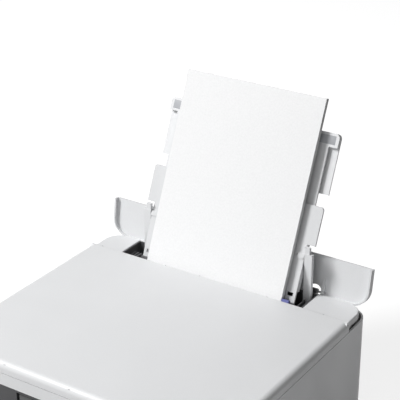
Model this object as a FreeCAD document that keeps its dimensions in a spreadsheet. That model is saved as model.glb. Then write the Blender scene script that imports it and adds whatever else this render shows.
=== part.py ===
import FreeCAD, Part
import Sketcher
import math
import os
import re

# Driving sizes: alias, value in millimetres or degrees, what it is
SIZES = [
    ("body_width", 402, "casing, side to side"),
    ("body_depth", 366, "casing, front to back"),
    ("lid_height", 176, "table to the top of the lid"),
    ("wall", 2.5, "moulded wall"),
    ("part_gap", 0.4, "gap round a part that drops in or moves"),
    ("run_gap", 0.05, "radial gap of a shaft in its bore"),
    ("over", 1, "how far a tool runs past what it cuts, or a piece into what it joins"),
    ("rib_half", 1, "half thickness of a stiffening rib"),
    ("shut_line", 0.8, "parting line under and behind the lid"),
    ("rear_radius", 26, "plan rounding of the rear corners"),
    ("front_radius", 12, "plan rounding of the front corners"),
    ("rear_strip", 56, "lid seam to the back of the casing"),
    ("lid_rim", 14, "height of the lid at its sides"),
    ("lid_plate", 3, "thickness of the lid's top"),
    ("lid_round", 8, "rounding of the lid's upper edges"),
    ("lid_barrel", 4.3, "radius of the lid's hinge barrel"),
    ("lid_rib", 4, "depth of the ribs under the lid"),
    ("lid_rib_inset", 105, "ribs under the lid in from its side"),
    ("lug_inset", 47, "lid hinge lugs in from the casing's side"),
    ("lug_width", 22, "width of a lid hinge lug"),
    ("lug_radius", 3, "radius of a lid hinge lug"),
    ("lug_stem", 1.6, "half depth of a lid hinge lug's stem"),
    ("lid_pin", 2, "radius of a lid hinge pin"),
    ("lid_pin_grip", 7, "length of hinge pin inside the lid barrel"),
    ("skirt_z", 10, "lower edge of the casing"),
    ("foot_height", 4, "rubber foot"),
    ("foot_radius", 9, "rubber foot"),
    ("foot_taper", 1, "rubber foot narrower at the table"),
    ("foot_inset", 36, "rubber foot, from the casing's sides"),
    ("pan_rise", 30, "height of the base pan"),
    ("pan_floor", 3, "floor of the base pan"),
    ("pan_rib", 5, "height of the base pan's ribs"),
    ("pan_rib_x", 62, "spacing of the base pan's ribs"),
    ("pan_rib_gap", 14, "base pan ribs in front of the eject roller"),
    ("deck_drop", 9, "top deck below the casing's edge"),
    ("deck_plate", 3, "thickness of the top deck"),
    ("deck_side", 22, "deck between its window and the casing"),
    ("deck_front", 52, "deck in front of its window"),
    ("deck_back", 50, "deck window to the lid seam"),
    ("deck_reach", 10, "reach of the deck's cutting tools"),
    ("well_clear", 4, "feed well's cut above the deck"),
    ("fascia_side", 40, "fascia to the casing's side"),
    ("fascia_drop", 16, "fascia below the casing's upper edge"),
    ("fascia_below", 22, "fascia below the output slot"),
    ("fascia_flange", 6, "flange behind the casing's front"),
    ("fascia_lap", 2, "fascia behind the casing's front wall"),
    ("slot_beyond", 23, "output slot beyond the sheet's edge"),
    ("slot_below", 24, "output slot below the paper's path"),
    ("slot_above", 14, "output slot above the paper's path"),
    ("bay_depth", 92, "depth of the output bay"),
    ("panel_half", 78, "half width of the control panel"),
    ("panel_above", 7, "control panel above the output slot"),
    ("panel_height", 35, "height of the control panel"),
    ("panel_depth", 12, "depth of the control panel"),
    ("panel_inset", 2.5, "control panel behind the front face"),
    ("panel_pin", 2, "radius of the control panel's pivots"),
    ("screen_half", 24, "half width of the screen"),
    ("screen_height", 24, "height of the screen"),
    ("screen_plate", 1.2, "thickness of the screen glass"),
    ("button_radius", 5, "radius of a button"),
    ("button_length", 8, "length of a button"),
    ("button_proud", 1.8, "button in front of its panel"),
    ("button_dish", 0.5, "depth of the dish in a button"),
    ("button_dish_radius", 15, "radius of the dish in a button"),
    ("button_power_x", -60, "power button from the middle"),
    ("button_stop_x", 44, "stop button from the middle"),
    ("button_start_x", 62, "start button from the middle"),
    ("tray_side", 8, "output tray to the slot's side"),
    ("tray_plate", 6, "thickness of the output tray"),
    ("tray_length", 84, "length of the output tray"),
    ("tray_lip", 13, "height of the output tray's front lip"),
    ("tray_lip_depth", 4, "thickness of the output tray's front lip"),
    ("leaf_half", 78, "half width of the tray extension"),
    ("leaf_plate", 3, "thickness of the tray extension"),
    ("thumb_dip", 3, "depth of the thumb notch in the tray extension"),
    ("paper_shift", -5, "middle of the paper from the printer's middle"),
    ("sheet_width", 210, "A4 sheet"),
    ("sheet_length", 297, "A4 sheet"),
    ("stack_depth", 6.5, "thickness of the paper stack"),
    ("paper_sunk", 35, "paper below the lid's level"),
    ("paper_gap", 3, "lid seam to the paper's face"),
    ("tilt", 23.1, "paper's lean from upright"),
    ("bezel_inset", 3.5, "rear bezel in from the casing's side"),
    ("bezel_margin", 9.1, "rear bezel in from the casing's back"),
    ("bezel_drop", 3.4, "rear bezel below the lid's top"),
    ("bezel_lift", 3, "gap between bezel skirt and casing"),
    ("bezel_foot", 5, "bezel foot in from its skirt"),
    ("bezel_round", 2, "rounding of the bezel's upper edges"),
    ("left_bay", 43, "feed opening left of the sheet"),
    ("right_bay", 32, "feed opening right of the sheet"),
    ("opening_depth", 45, "feed opening behind the seam"),
    ("well_depth", 52, "feed well below the lid's top"),
    ("well_wall", 1.6, "wall of the feed well"),
    ("well_base", 2, "floor of the feed well"),
    ("well_top", 4, "feed well's edge below the lid's top"),
    ("throat_beyond", 16, "well's throat beyond the sheet's edge"),
    ("throat_drop", 31, "throat block below the lid's top"),
    ("throat_reach", 24, "throat block in front of the seam"),
    ("throat_room", 8, "room in the deck in front of the throat block"),
    ("throat_lap", 4, "throat block behind the seam"),
    ("seat_gap", 0.6, "paper's lower edge to its seat"),
    ("seat_width", 2.2, "paper seat, front to back"),
    ("ledge_rise", 2, "guide ledges above the paper's lower edge"),
    ("slot_depth", 2.5, "feed slot in front of the paper"),
    ("slot_run", 6, "feed slot below the chute's upper end"),
    ("slot_lap", 4, "feed slot above the paper's lower edge"),
    ("well_tool_depth", 40, "reach of the tools that hollow the well"),
    ("well_tool_height", 50, "rise of the tools that hollow the well"),
    ("swing_drop", 3, "room under the stack for the support's swing"),
    ("sheet_room", 0.2, "room at each edge of the sheet"),
    ("bay_floor", 16, "raised floor of the well's left bay below the lid's top"),
    ("bay_rib", 1.6, "thickness of the ribs in the well"),
    ("bay_rib_pitch", 5, "spacing of the ribs in the left bay"),
    ("bay_rib_rise", 5, "height of the ribs in the left bay"),
    ("bay_rib_back", 18, "ribs in the left bay to the well's back"),
    ("step_back", 14, "raised floor to the well's back"),
    ("step_gap", 2, "raised floor to the post"),
    ("bay_wall_near", 4, "first wall in the right bay from the throat"),
    ("bay_wall_far", 10, "second wall in the right bay from the throat"),
    ("bay_wall_back", 16, "walls in the right bay to the well's back"),
    ("bay_wall_drop", 3, "walls in the right bay below the well's edge"),
    ("post_beyond", 15, "support posts beyond the sheet's edge"),
    ("post_width", 11, "width of a support post"),
    ("post_depth", 5.6, "depth of a support post"),
    ("post_y", 36, "support post behind the seam"),
    ("post_rise", 55.5, "shoulder of a support post above the lid's top"),
    ("tip_rise", 9, "height of a support post's tip"),
    ("tip_width", 7, "width of a support post's tip"),
    ("tip_inset", 0.6, "post tip in from the faces of its post"),
    ("tilt_pin", 1.3, "radius of the paper support's pivot pins"),
    ("tilt_pin_grip", 8, "pivot pin inside the paper support"),
    ("boss_skin", 1.2, "wall in front of the pivot"),
    ("boss_wall", 2, "wall above and below the pivot"),
    ("pin_depth", 10.5, "pivot behind the paper's face"),
    ("plate_front", 10, "paper support behind the paper's face"),
    ("plate_thick", 3, "thickness of the paper support"),
    ("plate_beyond", 25.5, "support's upper part beyond the sheet's edge"),
    ("neck_gap", 1, "support's lower part to its posts"),
    ("neck_low", 14, "support's lower end below the lid's level"),
    ("shoulder_s", 75, "support's shoulder above the lid's level"),
    ("plate_top", 126, "support's upper edge above the lid's level"),
    ("plate_round", 4.5, "rounding of the support's corners"),
    ("plate_slot_in", 13, "inner end of the support's slots from its side"),
    ("plate_slot_out", 4, "outer end of the support's slots from its side"),
    ("plate_slot_low", 7, "lower edge of the support's slots below the rails"),
    ("plate_slot_high", 2, "upper edge of the support's slots below the rails"),
    ("rib_inset", 45, "paper ribs in from the sheet's edge"),
    ("rail_height", 4.6, "extension rails behind the support"),
    ("rail_wall", 2.5, "wall of an extension rail"),
    ("rail_lip", 4, "lip of an extension rail"),
    ("rail_low", 12, "lower end of the rails above the lid's level"),
    ("ext_beyond", 11, "extension beyond the sheet's edge"),
    ("ext_thick", 2.8, "thickness of the extension"),
    ("ext_low", 62, "extension's lower end above the lid's level"),
    ("ext_shoulder", 203, "lower edge of the extension's grip"),
    ("grip_height", 18, "height of the extension's grip"),
    ("ext_round", 6, "rounding of the grip's corners"),
    ("dish_side", 4, "grip's dish in from its rounding and its top"),
    ("dish_below", 3.5, "grip's dish above the grip's lower edge"),
    ("dish_depth", 1.6, "depth of the grip's dish"),
    ("wing_beyond", 23.5, "extension's wings beyond the sheet's edge"),
    ("wing_low", 142, "lower edge of the wings"),
    ("wing_thick", 2.2, "thickness of the wings"),
    ("wing_web", 6, "web between extension and wing"),
    ("guide_wall", 2.6, "wall of a paper guide"),
    ("guide_tab", 7.5, "width of a paper guide's tab"),
    ("guide_tab_depth", 5.6, "depth of a paper guide's tab"),
    ("guide_tab_height", 6, "height of a paper guide's tab"),
    ("guide_back", 6.5, "guide behind the paper's face"),
    ("stop_beyond", 7.5, "support stops beyond the sheet's edge"),
    ("stop_top", 8, "support stops below the lid's level"),
    ("stop_height", 8, "height of the support stops"),
    ("stop_front", 1.5, "support stops behind the paper's face"),
    ("stop_lap", 4, "support stops past the throat's side"),
    ("cover_axis_y", 51.5, "feed cover's hinge behind the seam"),
    ("cover_axis_drop", 3.5, "feed cover's hinge below the lid's top"),
    ("cover_reach", 50, "feed cover from its hinge to its free edge"),
    ("cover_back", 4.5, "feed cover behind its hinge"),
    ("cover_plate", 3, "thickness of the feed cover"),
    ("cover_rise", 0.5, "feed cover's inside above its hinge"),
    ("cover_rim", 6, "rim round the feed cover"),
    ("cover_rear_rim", 4, "rim along the feed cover's hinge"),
    ("cover_open", 98, "feed cover's opening angle"),
    ("ear_beyond", 23, "cover hinge ears beyond the sheet's edge"),
    ("ear_half", 4, "half width of a cover hinge ear"),
    ("ear_radius", 3.6, "radius of a cover hinge ear"),
    ("ear_notch", 9, "radius of the notch round an ear"),
    ("cover_pin", 1.5, "radius of a cover hinge pin"),
    ("cover_lug", 5, "width of the cover's hinge lugs"),
    ("cover_lug_gap", 0.5, "cover's hinge lugs to the notch round an ear"),
    ("cover_lug_radius", 3.2, "radius of the cover's hinge lugs"),
    ("pick_radius", 10, "radius of the pickup tyres"),
    ("pick_shaft", 3, "radius of the pickup shaft"),
    ("pick_end", 2, "pickup shaft past its hangers"),
    ("pick_s", 25, "pickup roller below the lid's level"),
    ("pick_tyre", 30, "width of a pickup tyre"),
    ("pick_tyre_x", 42, "pickup tyre from the paper's middle"),
    ("hanger", 4, "width of the pickup shaft's hangers"),
    ("path_drop", 90, "paper's path below the lid's top"),
    ("chute_rise", 36.65, "upper end of the chute above the paper's path"),
    ("chute_beyond", 7, "chute beyond the sheet's edge"),
    ("chute_gap", 1, "chute below the paper"),
    ("chute_plate", 2, "thickness of the chute"),
    ("leg_width", 6, "legs of chute and platen"),
    ("chute_leg", 20, "depth of the chute's legs"),
    ("roller_back", 112, "main roller in front of the seam"),
    ("eject_span", 58, "main roller to eject roller"),
    ("roller_radius", 5, "main roller and eject tyres"),
    ("eject_shaft", 3, "radius of the eject shaft"),
    ("eject_tyre", 12, "width of an eject tyre"),
    ("axle_end", 2, "main and eject roller past the right frame"),
    ("tyre_pitch", 38, "spacing of rollers across the path"),
    ("frame_inset", 19, "side frames in from the casing's side"),
    ("frame_plate", 1.5, "sheet metal"),
    ("frame_foot", 12, "foot flange of a side frame"),
    ("frame_front", 74, "side frame in front of the main roller"),
    ("frame_rear", 26, "side frame behind the main roller"),
    ("frame_margin", 12, "side frame round its window"),
    ("frame_window_back", 16, "side frame's window in front of the main roller"),
    ("frame_window_top", 30, "side frame's window below the main roller"),
    ("frame_above", 60, "side frames above the paper's path"),
    ("rear_above", 12, "rear frame above the paper's path"),
    ("rear_y", 24, "rear frame behind the main roller"),
    ("rear_flange_depth", 10, "lower flange of the rear frame"),
    ("rear_slot_pitch", 60, "spacing of the rear frame's slots"),
    ("rear_slot_half", 18, "half width of a slot in the rear frame"),
    ("rear_slot_low", 10, "slots above the rear frame's lower edge"),
    ("rear_slot_gap", 6, "slots below the belt pulleys"),
    ("shaft_radius", 5, "carriage guide shaft"),
    ("shaft_rise", 34, "guide shaft above the paper's path"),
    ("shaft_back", 8, "guide shaft behind the main roller"),
    ("pulley_inset", 24, "belt pulleys in from the side frames"),
    ("pulley_radius", 6, "belt pulleys"),
    ("pulley_bore", 1.5, "axle of the belt pulleys"),
    ("belt_rise", 48, "belt above the paper's path"),
    ("belt_width", 6, "drive belt"),
    ("belt_thick", 1, "drive belt"),
    ("belt_y", 16.5, "belt behind the main roller"),
    ("motor_radius", 14, "motors"),
    ("motor_length", 30, "motors"),
    ("motor_boss", 3, "boss at the end of the feed motor"),
    ("carriage_width", 86, "carriage, side to side"),
    ("home_inset", 47, "carriage's home place in from the side frame"),
    ("carriage_front", 50, "carriage in front of the main roller"),
    ("carriage_back", 3, "carriage pocket to the main roller"),
    ("carriage_rise", 9, "carriage above the paper's path"),
    ("carriage_height", 40, "carriage"),
    ("bearing_half", 9, "half height of the carriage's bearing"),
    ("bearing_back", 15.8, "back of the bearing behind the main roller"),
    ("clamp_half", 10, "half width of the carriage's belt clamp"),
    ("clamp_depth", 5, "depth of the belt clamp"),
    ("clamp_gap", 2, "belt clamp below the belt's upper run"),
    ("scoop_radius", 18, "scoop in the carriage's front"),
    ("scoop_side", 4, "scoop in from the carriage's sides"),
    ("scoop_rise", 6, "middle of the scoop above the carriage"),
    ("head_front", 6, "print head behind the carriage's front"),
    ("head_back", 8, "print head in front of the carriage's back"),
    ("head_half", 22, "half width of the print head"),
    ("head_gap", 1.6, "print head above the paper's path"),
    ("ink_width", 18.6, "ink cartridge"),
    ("ink_pitch", 20, "spacing of the cartridges"),
    ("ink_top", 55, "cartridge top above the paper's path"),
    ("ink_floor", 14, "cartridge floor above the paper's path"),
    ("ink_step", 12, "cartridge nose behind its latch"),
    ("ink_round", 1.5, "rounding of a cartridge's top"),
    ("strip_height", 6, "encoder strip"),
    ("strip_thick", 0.6, "encoder strip"),
    ("platen_beyond", 3, "platen beyond the sheet's edge"),
    ("platen_rib", 2.5, "height of the platen's ribs"),
    ("platen_rib_pitch", 24, "spacing of the platen's ribs"),
    ("platen_depth", 9, "platen below the paper's path"),
    ("platen_gap", 3, "platen to the rollers"),
    ("pinch_radius", 3.5, "pinch rollers"),
    ("pinch_width", 18, "width of a pinch roller"),
    ("pinch_shaft", 1.2, "radius of pinch and spur shafts"),
    ("nip_gap", 0.4, "gap for the paper between rollers"),
    ("spur_radius", 4.6, "spur wheels"),
    ("spur_width", 1.2, "thickness of a spur wheel"),
    ("arm_width", 4, "arms that carry pinch and spur rollers"),
    ("beam_depth", 5, "beams behind the pinch and spur rollers"),
    ("beam_gap", 4, "beams to the pinch rollers"),
    ("beam_below", 2, "beams and arms below the rollers' axis"),
    ("beam_above", 4, "beams above the rollers' axis"),
    ("arm_reach", 2.4, "arms past the rollers' axis"),
    ("gear_module", 1, "tooth size of the gear train"),
    ("gear_width", 6, "width of the gears"),
    ("gear_teeth", 40, "teeth on main and eject gear"),
    ("transfer_teeth", 18, "teeth on the transfer gear"),
    ("pinion_teeth", 12, "teeth on the motor pinion"),
    ("gear_clear", 2.5, "gears outside the side frame"),
    ("stub_radius", 2, "axle of the transfer gear"),
    ("stub_wall", 2, "collar round the transfer gear's axle"),
    ("cap_width", 46, "cap sled"),
    ("cap_front", 4, "cap sled behind the carriage's front"),
    ("cap_back", 6, "cap sled in front of the carriage's back"),
    ("cap_below", 26, "cap sled's lower face below the paper's path"),
    ("cap_seal_height", 5, "rubber seal on the cap sled"),
    ("cap_seal_wall", 3, "rubber seal's lip"),
    ("seal_inset", 4, "seal in from the sled's front and back"),
    ("seal_side", 2, "seal in from the sled's sides"),
    ("seal_floor", 1, "floor of the rubber seal"),
    ("station_below", 12, "cap station below the paper's path"),
    ("pad_gap", 12.5, "waste ink pad to the cap sled"),
    ("supply_width", 104, "power supply"),
    ("supply_depth", 58, "power supply"),
    ("supply_height", 34, "power supply"),
    ("supply_inset", 73, "power supply's middle in from the casing's side"),
    ("inlet_width", 28, "power inlet"),
    ("inlet_height", 20, "power inlet"),
    ("inlet_low", 44, "power inlet above the table"),
    ("inlet_depth", 14, "depth of the power inlet"),
    ("inlet_stem_depth", 12, "stem from the inlet down to the supply"),
    ("inlet_wall", 3, "wall of the power inlet"),
    ("prong_radius", 1.2, "prongs of the power inlet"),
    ("prong_x", 5, "prongs from the inlet's middle"),
    ("port_room", 12, "depth of the hollow in inlet and port"),
    ("port_set", 0.5, "inlet and port behind the casing's back"),
    ("board_width", 110, "main board"),
    ("board_depth", 70, "main board"),
    ("board_plate", 1.6, "main board"),
    ("board_rise", 29, "main board above the pan's floor"),
    ("board_inset", 83, "main board's middle in from the casing's side"),
    ("board_back", 8, "main board to the casing's back"),
    ("board_post", 3, "posts of the main board"),
    ("board_post_inset", 6, "posts in from the board's corners"),
    ("board_lap", 0.5, "posts into the board"),
    ("chip_size", 16, "chips on the main board"),
    ("chip_height", 2, "chips on the main board"),
    ("chip_pitch", 26, "spacing of the chips"),
    ("chip_start", 40, "first chip from the board's middle"),
    ("chip_back", 16, "chips behind the board's front edge"),
    ("chip_sunk", 0.2, "chips into the board"),
    ("usb_width", 13, "usb port"),
    ("usb_height", 12, "usb port"),
    ("usb_depth", 20, "usb port"),
    ("usb_wall", 1, "usb port"),
    ("vent_count", 14, "rear vents"),
    ("vent_pitch", 8, "rear vents"),
    ("vent_width", 3, "rear vents"),
    ("vent_low", 84, "rear vents above the table"),
    ("vent_height", 34, "rear vents"),
]

# Places that follow from the driving sizes
PLACES = [
    ("half_width", "body_width / 2"),
    ("paper_x", "paper_shift"),
    ("slot_half", "sheet_width / 2 + slot_beyond"),
    ("tray_half", "slot_half - tray_side"),
    ("opening_left", "sheet_width / 2 + left_bay"),
    ("opening_right", "sheet_width / 2 + right_bay"),
    ("throat_half", "sheet_width / 2 + throat_beyond"),
    ("post_inner", "sheet_width / 2 + post_beyond"),
    ("plate_half", "sheet_width / 2 + plate_beyond"),
    ("neck_half", "post_inner - neck_gap"),
    ("rest_rib", "sheet_width / 2 - rib_inset"),
    ("ext_half", "sheet_width / 2 + ext_beyond"),
    ("wing_half", "sheet_width / 2 + wing_beyond"),
    ("stop_x", "sheet_width / 2 + stop_beyond"),
    ("ear_x", "sheet_width / 2 + ear_beyond"),
    ("pick_half", "throat_half + hanger"),
    ("chute_half", "sheet_width / 2 + chute_beyond"),
    ("platen_half", "sheet_width / 2 + platen_beyond"),
    ("ext_top", "ext_shoulder + grip_height"),
    ("frame_x", "half_width - frame_inset"),
    ("pulley_x", "frame_x - pulley_inset"),
    ("home_x", "frame_x - home_inset"),
    ("cap_left", "home_x - cap_width / 2"),
    ("supply_x", "supply_inset - half_width"),
    ("board_x", "half_width - board_inset"),
    ("lug_x", "half_width - lug_inset"),
    ("lid_rib_x", "half_width - lid_rib_inset"),
    ("path_z", "lid_height - path_drop"),
    ("slot_low", "path_z - slot_below"),
    ("slot_high", "path_z + slot_above"),
    ("panel_low", "slot_high + panel_above"),
    ("panel_high", "panel_low + panel_height"),
    ("fascia_low", "slot_low - fascia_below"),
    ("frame_top", "path_z + frame_above"),
    ("rear_low", "path_z + rear_above"),
    ("cap_low", "path_z - cap_below"),
    ("station_top", "path_z - station_below"),
    ("pad_height", "cap_low - floor_z - wall - pad_gap"),
    ("chute_s", "(path_drop - chute_rise) / cos(tilt)"),
    ("paper_back", "paper_gap + (sheet_length - paper_sunk) * sin(tilt) + stack_depth * cos(tilt)"),
    ("seam_y", "(body_depth - rear_strip - paper_back) / 2"),
    ("front_y", "seam_y + rear_strip - body_depth"),
    ("back_y", "seam_y + rear_strip"),
    ("rim_z", "lid_height - lid_rim"),
    ("casing_top", "rim_z - shut_line"),
    ("inside_x", "half_width - wall"),
    ("lid_axis_y", "seam_y - lid_barrel"),
    ("lid_axis_z", "lid_height - lid_barrel"),
    ("pan_inset", "wall + part_gap"),
    ("floor_z", "foot_height + pan_floor"),
    ("deck_top", "casing_top - deck_drop + deck_plate"),
    ("fascia_half", "half_width - fascia_side"),
    ("fascia_high", "casing_top - fascia_drop"),
    ("bezel_top", "lid_height - bezel_drop"),
    ("bezel_low", "casing_top + bezel_lift"),
    ("bezel_back", "back_y - bezel_margin"),
    ("bezel_half", "half_width - bezel_inset"),
    ("open_left", "paper_x - opening_left"),
    ("open_right", "paper_x + opening_right"),
    ("open_back", "seam_y + opening_depth"),
    ("well_floor", "lid_height - well_depth"),
    ("post_axis_y", "seam_y + post_y"),
    ("pin_s", "(post_y - paper_gap - pin_depth * cos(tilt)) / sin(tilt)"),
    ("pin_z", "lid_height + pin_s * cos(tilt) - pin_depth * sin(tilt)"),
    ("plate_back", "plate_front + plate_thick"),
    ("ext_front", "plate_back + part_gap"),
    ("ext_back", "ext_front + ext_thick"),
    ("rail_back", "plate_back + rail_height"),
    ("wing_front", "rail_back + rail_wall / 2 + part_gap"),
    ("cover_lug_x", "ear_x + ear_notch + cover_lug_gap"),
    ("cover_y", "seam_y + cover_axis_y"),
    ("cover_z", "lid_height - cover_axis_drop"),
    ("guide_x", "sheet_width / 2 + part_gap"),
    ("pick_y", "seam_y + paper_gap - pick_s * sin(tilt) - (pick_radius + part_gap) * cos(tilt)"),
    ("pick_z", "lid_height - pick_s * cos(tilt) + (pick_radius + part_gap) * sin(tilt)"),
    ("chute_y0", "seam_y + paper_gap - chute_s * sin(tilt)"),
    ("chute_z0", "lid_height - chute_s * cos(tilt)"),
    ("chute_radius", "(chute_z0 - path_z) / (1 - sin(tilt))"),
    ("chute_y", "chute_y0 - chute_radius * cos(tilt)"),
    ("roller_y", "seam_y - roller_back"),
    ("eject_y", "roller_y - eject_span"),
    ("axle_z", "path_z - roller_radius"),
    ("shaft_y", "roller_y + shaft_back"),
    ("shaft_z", "path_z + shaft_rise"),
    ("belt_z", "path_z + belt_rise"),
    ("pinch_z", "path_z + nip_gap + pinch_radius"),
    ("spur_z", "path_z + nip_gap + spur_radius"),
    ("gear_out", "-frame_x - frame_plate - gear_clear"),
    ("pinion_z", "axle_z - gear_module * (gear_teeth + pinion_teeth) / 2"),
    ("transfer_y", "(roller_y + eject_y) / 2"),
    ("cap_right", "cap_left + cap_width"),
    ("cap_top", "path_z + head_gap - nip_gap"),
    ("carriage_z", "path_z + carriage_rise"),
    ("carriage_top", "carriage_z + carriage_height"),
    ("inlet_x", "supply_x"),
    ("usb_x", "board_x"),
    ("usb_low", "floor_z + board_rise + board_plate"),
    ("button_z", "(panel_low + panel_high) / 2"),
    ("panel_face", "front_y + panel_inset"),
    ("panel_axis_y", "panel_face + panel_depth / 2"),
    ("panel_axis_z", "panel_high - panel_depth / 2"),
    ("tray_top", "slot_low + part_gap + tray_plate"),
    ("tray_back", "front_y + tray_length"),
]

doc = FreeCAD.newDocument("inkjet_printer")
owner = {}
TURNS = {
    "x": FreeCAD.Rotation(FreeCAD.Vector(0, 1, 0), 90),
    "y": FreeCAD.Rotation(FreeCAD.Vector(1, 0, 0), -90),
    "z": FreeCAD.Rotation(),
}


def qualified(text, home=""):
    """Put the owning sheet in front of every alias in a formula."""
    def full(word):
        sheet = owner.get(word[0], home)
        return word[0] if sheet == home or word[0] not in owner else f"{sheet}.{word[0]}"
    return re.sub(r"[A-Za-z_]\w*", full, text)


def fill_sheet(name, rows):
    """Write one sheet: note, value or formula, alias."""
    sheet = doc.addObject("Spreadsheet::Sheet", name)
    for line, (alias, value, note) in enumerate(rows, start=1):
        text = f"={qualified(value, name)}" if isinstance(value, str) else str(value)
        sheet.set(f"A{line}", note)
        sheet.set(f"B{line}", text)
        sheet.setAlias(f"B{line}", alias)
        owner[alias] = name
    doc.recompute()
    return sheet


sizes = fill_sheet("Sizes", SIZES)
places = fill_sheet("Places", [(alias, text, alias) for alias, text in PLACES])


def number(text):
    """Value of a formula, for the few shapes and counts that need one."""
    return float(places.evalExpression(qualified(text)))


def bind(thing, prop, text):
    """Drive one property of an object by a formula of aliases."""
    thing.setExpression(prop, qualified(text))


def place(thing, x, y, z):
    """Drive an object's position."""
    for axis, text in zip("xyz", (x, y, z)):
        bind(thing, f"Placement.Base.{axis}", text)


def block(name, xs, ys, zs):
    """Box between three pairs of formulas."""
    box = doc.addObject("Part::Box", name)
    for prop, (low, high) in zip(("Length", "Width", "Height"), (xs, ys, zs)):
        bind(box, prop, f"({high}) - ({low})")
    place(box, xs[0], ys[0], zs[0])
    return box


def leaning(name, xs, depths, heights):
    """Box in the paper's frame: across from its middle, behind its face, up its slope from the lid."""
    box = doc.addObject("Part::Box", name)
    for prop, (low, high) in zip(("Length", "Width", "Height"), (xs, depths, heights)):
        bind(box, prop, f"({high}) - ({low})")
    lean(box, xs[0], depths[0], heights[0])
    return box


def lean(thing, across="0", depth="0", height="0"):
    """Set an object into the paper's leaning frame."""
    thing.Placement = FreeCAD.Placement(FreeCAD.Vector(), FreeCAD.Rotation(FreeCAD.Vector(1, 0, 0), -10))
    bind(thing, "Placement.Rotation.Angle", "-tilt")
    place(thing, f"paper_x + ({across})",
          f"seam_y + paper_gap + ({height}) * sin(tilt) + ({depth}) * cos(tilt)",
          f"lid_height + ({height}) * cos(tilt) - ({depth}) * sin(tilt)")


def rod(name, axis, radius, span, centre):
    """Cylinder along an axis, over a span, at the two other coordinates."""
    bar = doc.addObject("Part::Cylinder", name)
    bind(bar, "Radius", radius)
    bind(bar, "Height", f"({span[1]}) - ({span[0]})")
    bar.Placement = FreeCAD.Placement(FreeCAD.Vector(), TURNS[axis])
    spot = list(centre)
    spot.insert("xyz".index(axis), span[0])
    place(bar, *spot)
    return bar


def join(name, *pieces):
    """One solid from several that meet."""
    fusion = doc.addObject("Part::MultiFuse", name)
    fusion.Shapes = list(pieces)
    fusion.Refine = True
    return fusion


def gather(name, *pieces):
    """Separate solids of one sub-part."""
    group = doc.addObject("Part::Compound", name)
    group.Links = list(pieces)
    return group


def cut(name, base, *tools):
    """Take the tools away from the base."""
    result = doc.addObject("Part::Cut", name)
    result.Base = base
    result.Tool = tools[0] if len(tools) == 1 else join(f"{name}_tools", *tools)
    result.Refine = True
    return result


def sketch(body, name, plane, points, offset="0"):
    """Closed outline on one of the body's own planes, every corner driven."""
    drawing = body.newObject("Sketcher::SketchObject", name)
    support = [item for item in body.Origin.OriginFeatures if item.Role == plane][0]
    drawing.AttachmentSupport = [(support, "")]
    drawing.MapMode = "FlatFace"
    bind(drawing, "AttachmentOffset.Base.z", offset)
    spots = [FreeCAD.Vector(number(u), number(v), 0) for u, v in points]
    count = len(spots)
    for i in range(count):
        drawing.addGeometry(Part.LineSegment(spots[i], spots[(i + 1) % count]), False)
    for i in range(count):
        drawing.addConstraint(Sketcher.Constraint("Coincident", i, 2, (i + 1) % count, 1))
    for i, spot in enumerate(spots):
        for kind, value, text in (("DistanceX", spot.x, points[i][0]), ("DistanceY", spot.y, points[i][1])):
            index = drawing.addConstraint(Sketcher.Constraint(kind, -1, 1, i, 1, value))
            bind(drawing, f"Constraints[{index}]", text)
    return drawing


def prism(name, plane, points, length, offset="0", reverse=False):
    """Body with one outline padded to a length."""
    body = doc.addObject("PartDesign::Body", name)
    pad = body.newObject("PartDesign::Pad", f"{name}_pad")
    pad.Profile = sketch(body, f"{name}_outline", plane, points, offset)
    pad.Reversed = reverse
    bind(pad, "Length", length)
    body.Tip = pad
    doc.recompute()
    return body


def soften(body, radius, wanted):
    """Round the edges of a body that the test picks out."""
    base = body.Tip
    edges = [f"Edge{i}" for i, edge in enumerate(base.Shape.Edges, start=1) if wanted(edge)]
    fillet = body.newObject("PartDesign::Fillet", f"{base.Name}_round")
    fillet.Base = (base, edges)
    bind(fillet, "Radius", radius)
    body.Tip = fillet
    doc.recompute()
    return body


def upright(edge):
    """True for a vertical edge."""
    box = edge.BoundBox
    return box.ZLength > 1 and box.XLength < 0.01 and box.YLength < 0.01


def rounded_tray(name, xs, ys, zs, rear, front=None):
    """Upright prism with rounded rear corners and, if given, rounded front corners."""
    corners = [(xs[0], ys[0]), (xs[1], ys[0]), (xs[1], ys[1]), (xs[0], ys[1])]
    body = prism(name, "XY_Plane", corners, f"({zs[1]}) - ({zs[0]})", zs[0])
    middle = number(f"(({ys[0]}) + ({ys[1]})) / 2")
    soften(body, rear, lambda edge: upright(edge) and edge.BoundBox.YMin > middle)
    if front:
        soften(body, front, lambda edge: upright(edge) and edge.BoundBox.YMax < middle)
    return body


def spread(text):
    """Pair of formulas either side of the middle."""
    return f"-({text})", text


def sided(side, near, far):
    """Span on the right of the middle, or its mirror image on the left."""
    return (near, far) if side > 0 else (f"-({far})", f"-({near})")


def mirrored(near, far, side):
    """The same about the paper's middle."""
    low, high = sided(side, near, far)
    return f"paper_x + {low}", f"paper_x + {high}"


def about(middle, half):
    """Span of a half width either side of a place."""
    return f"{middle} - {half}", f"{middle} + {half}"


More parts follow.
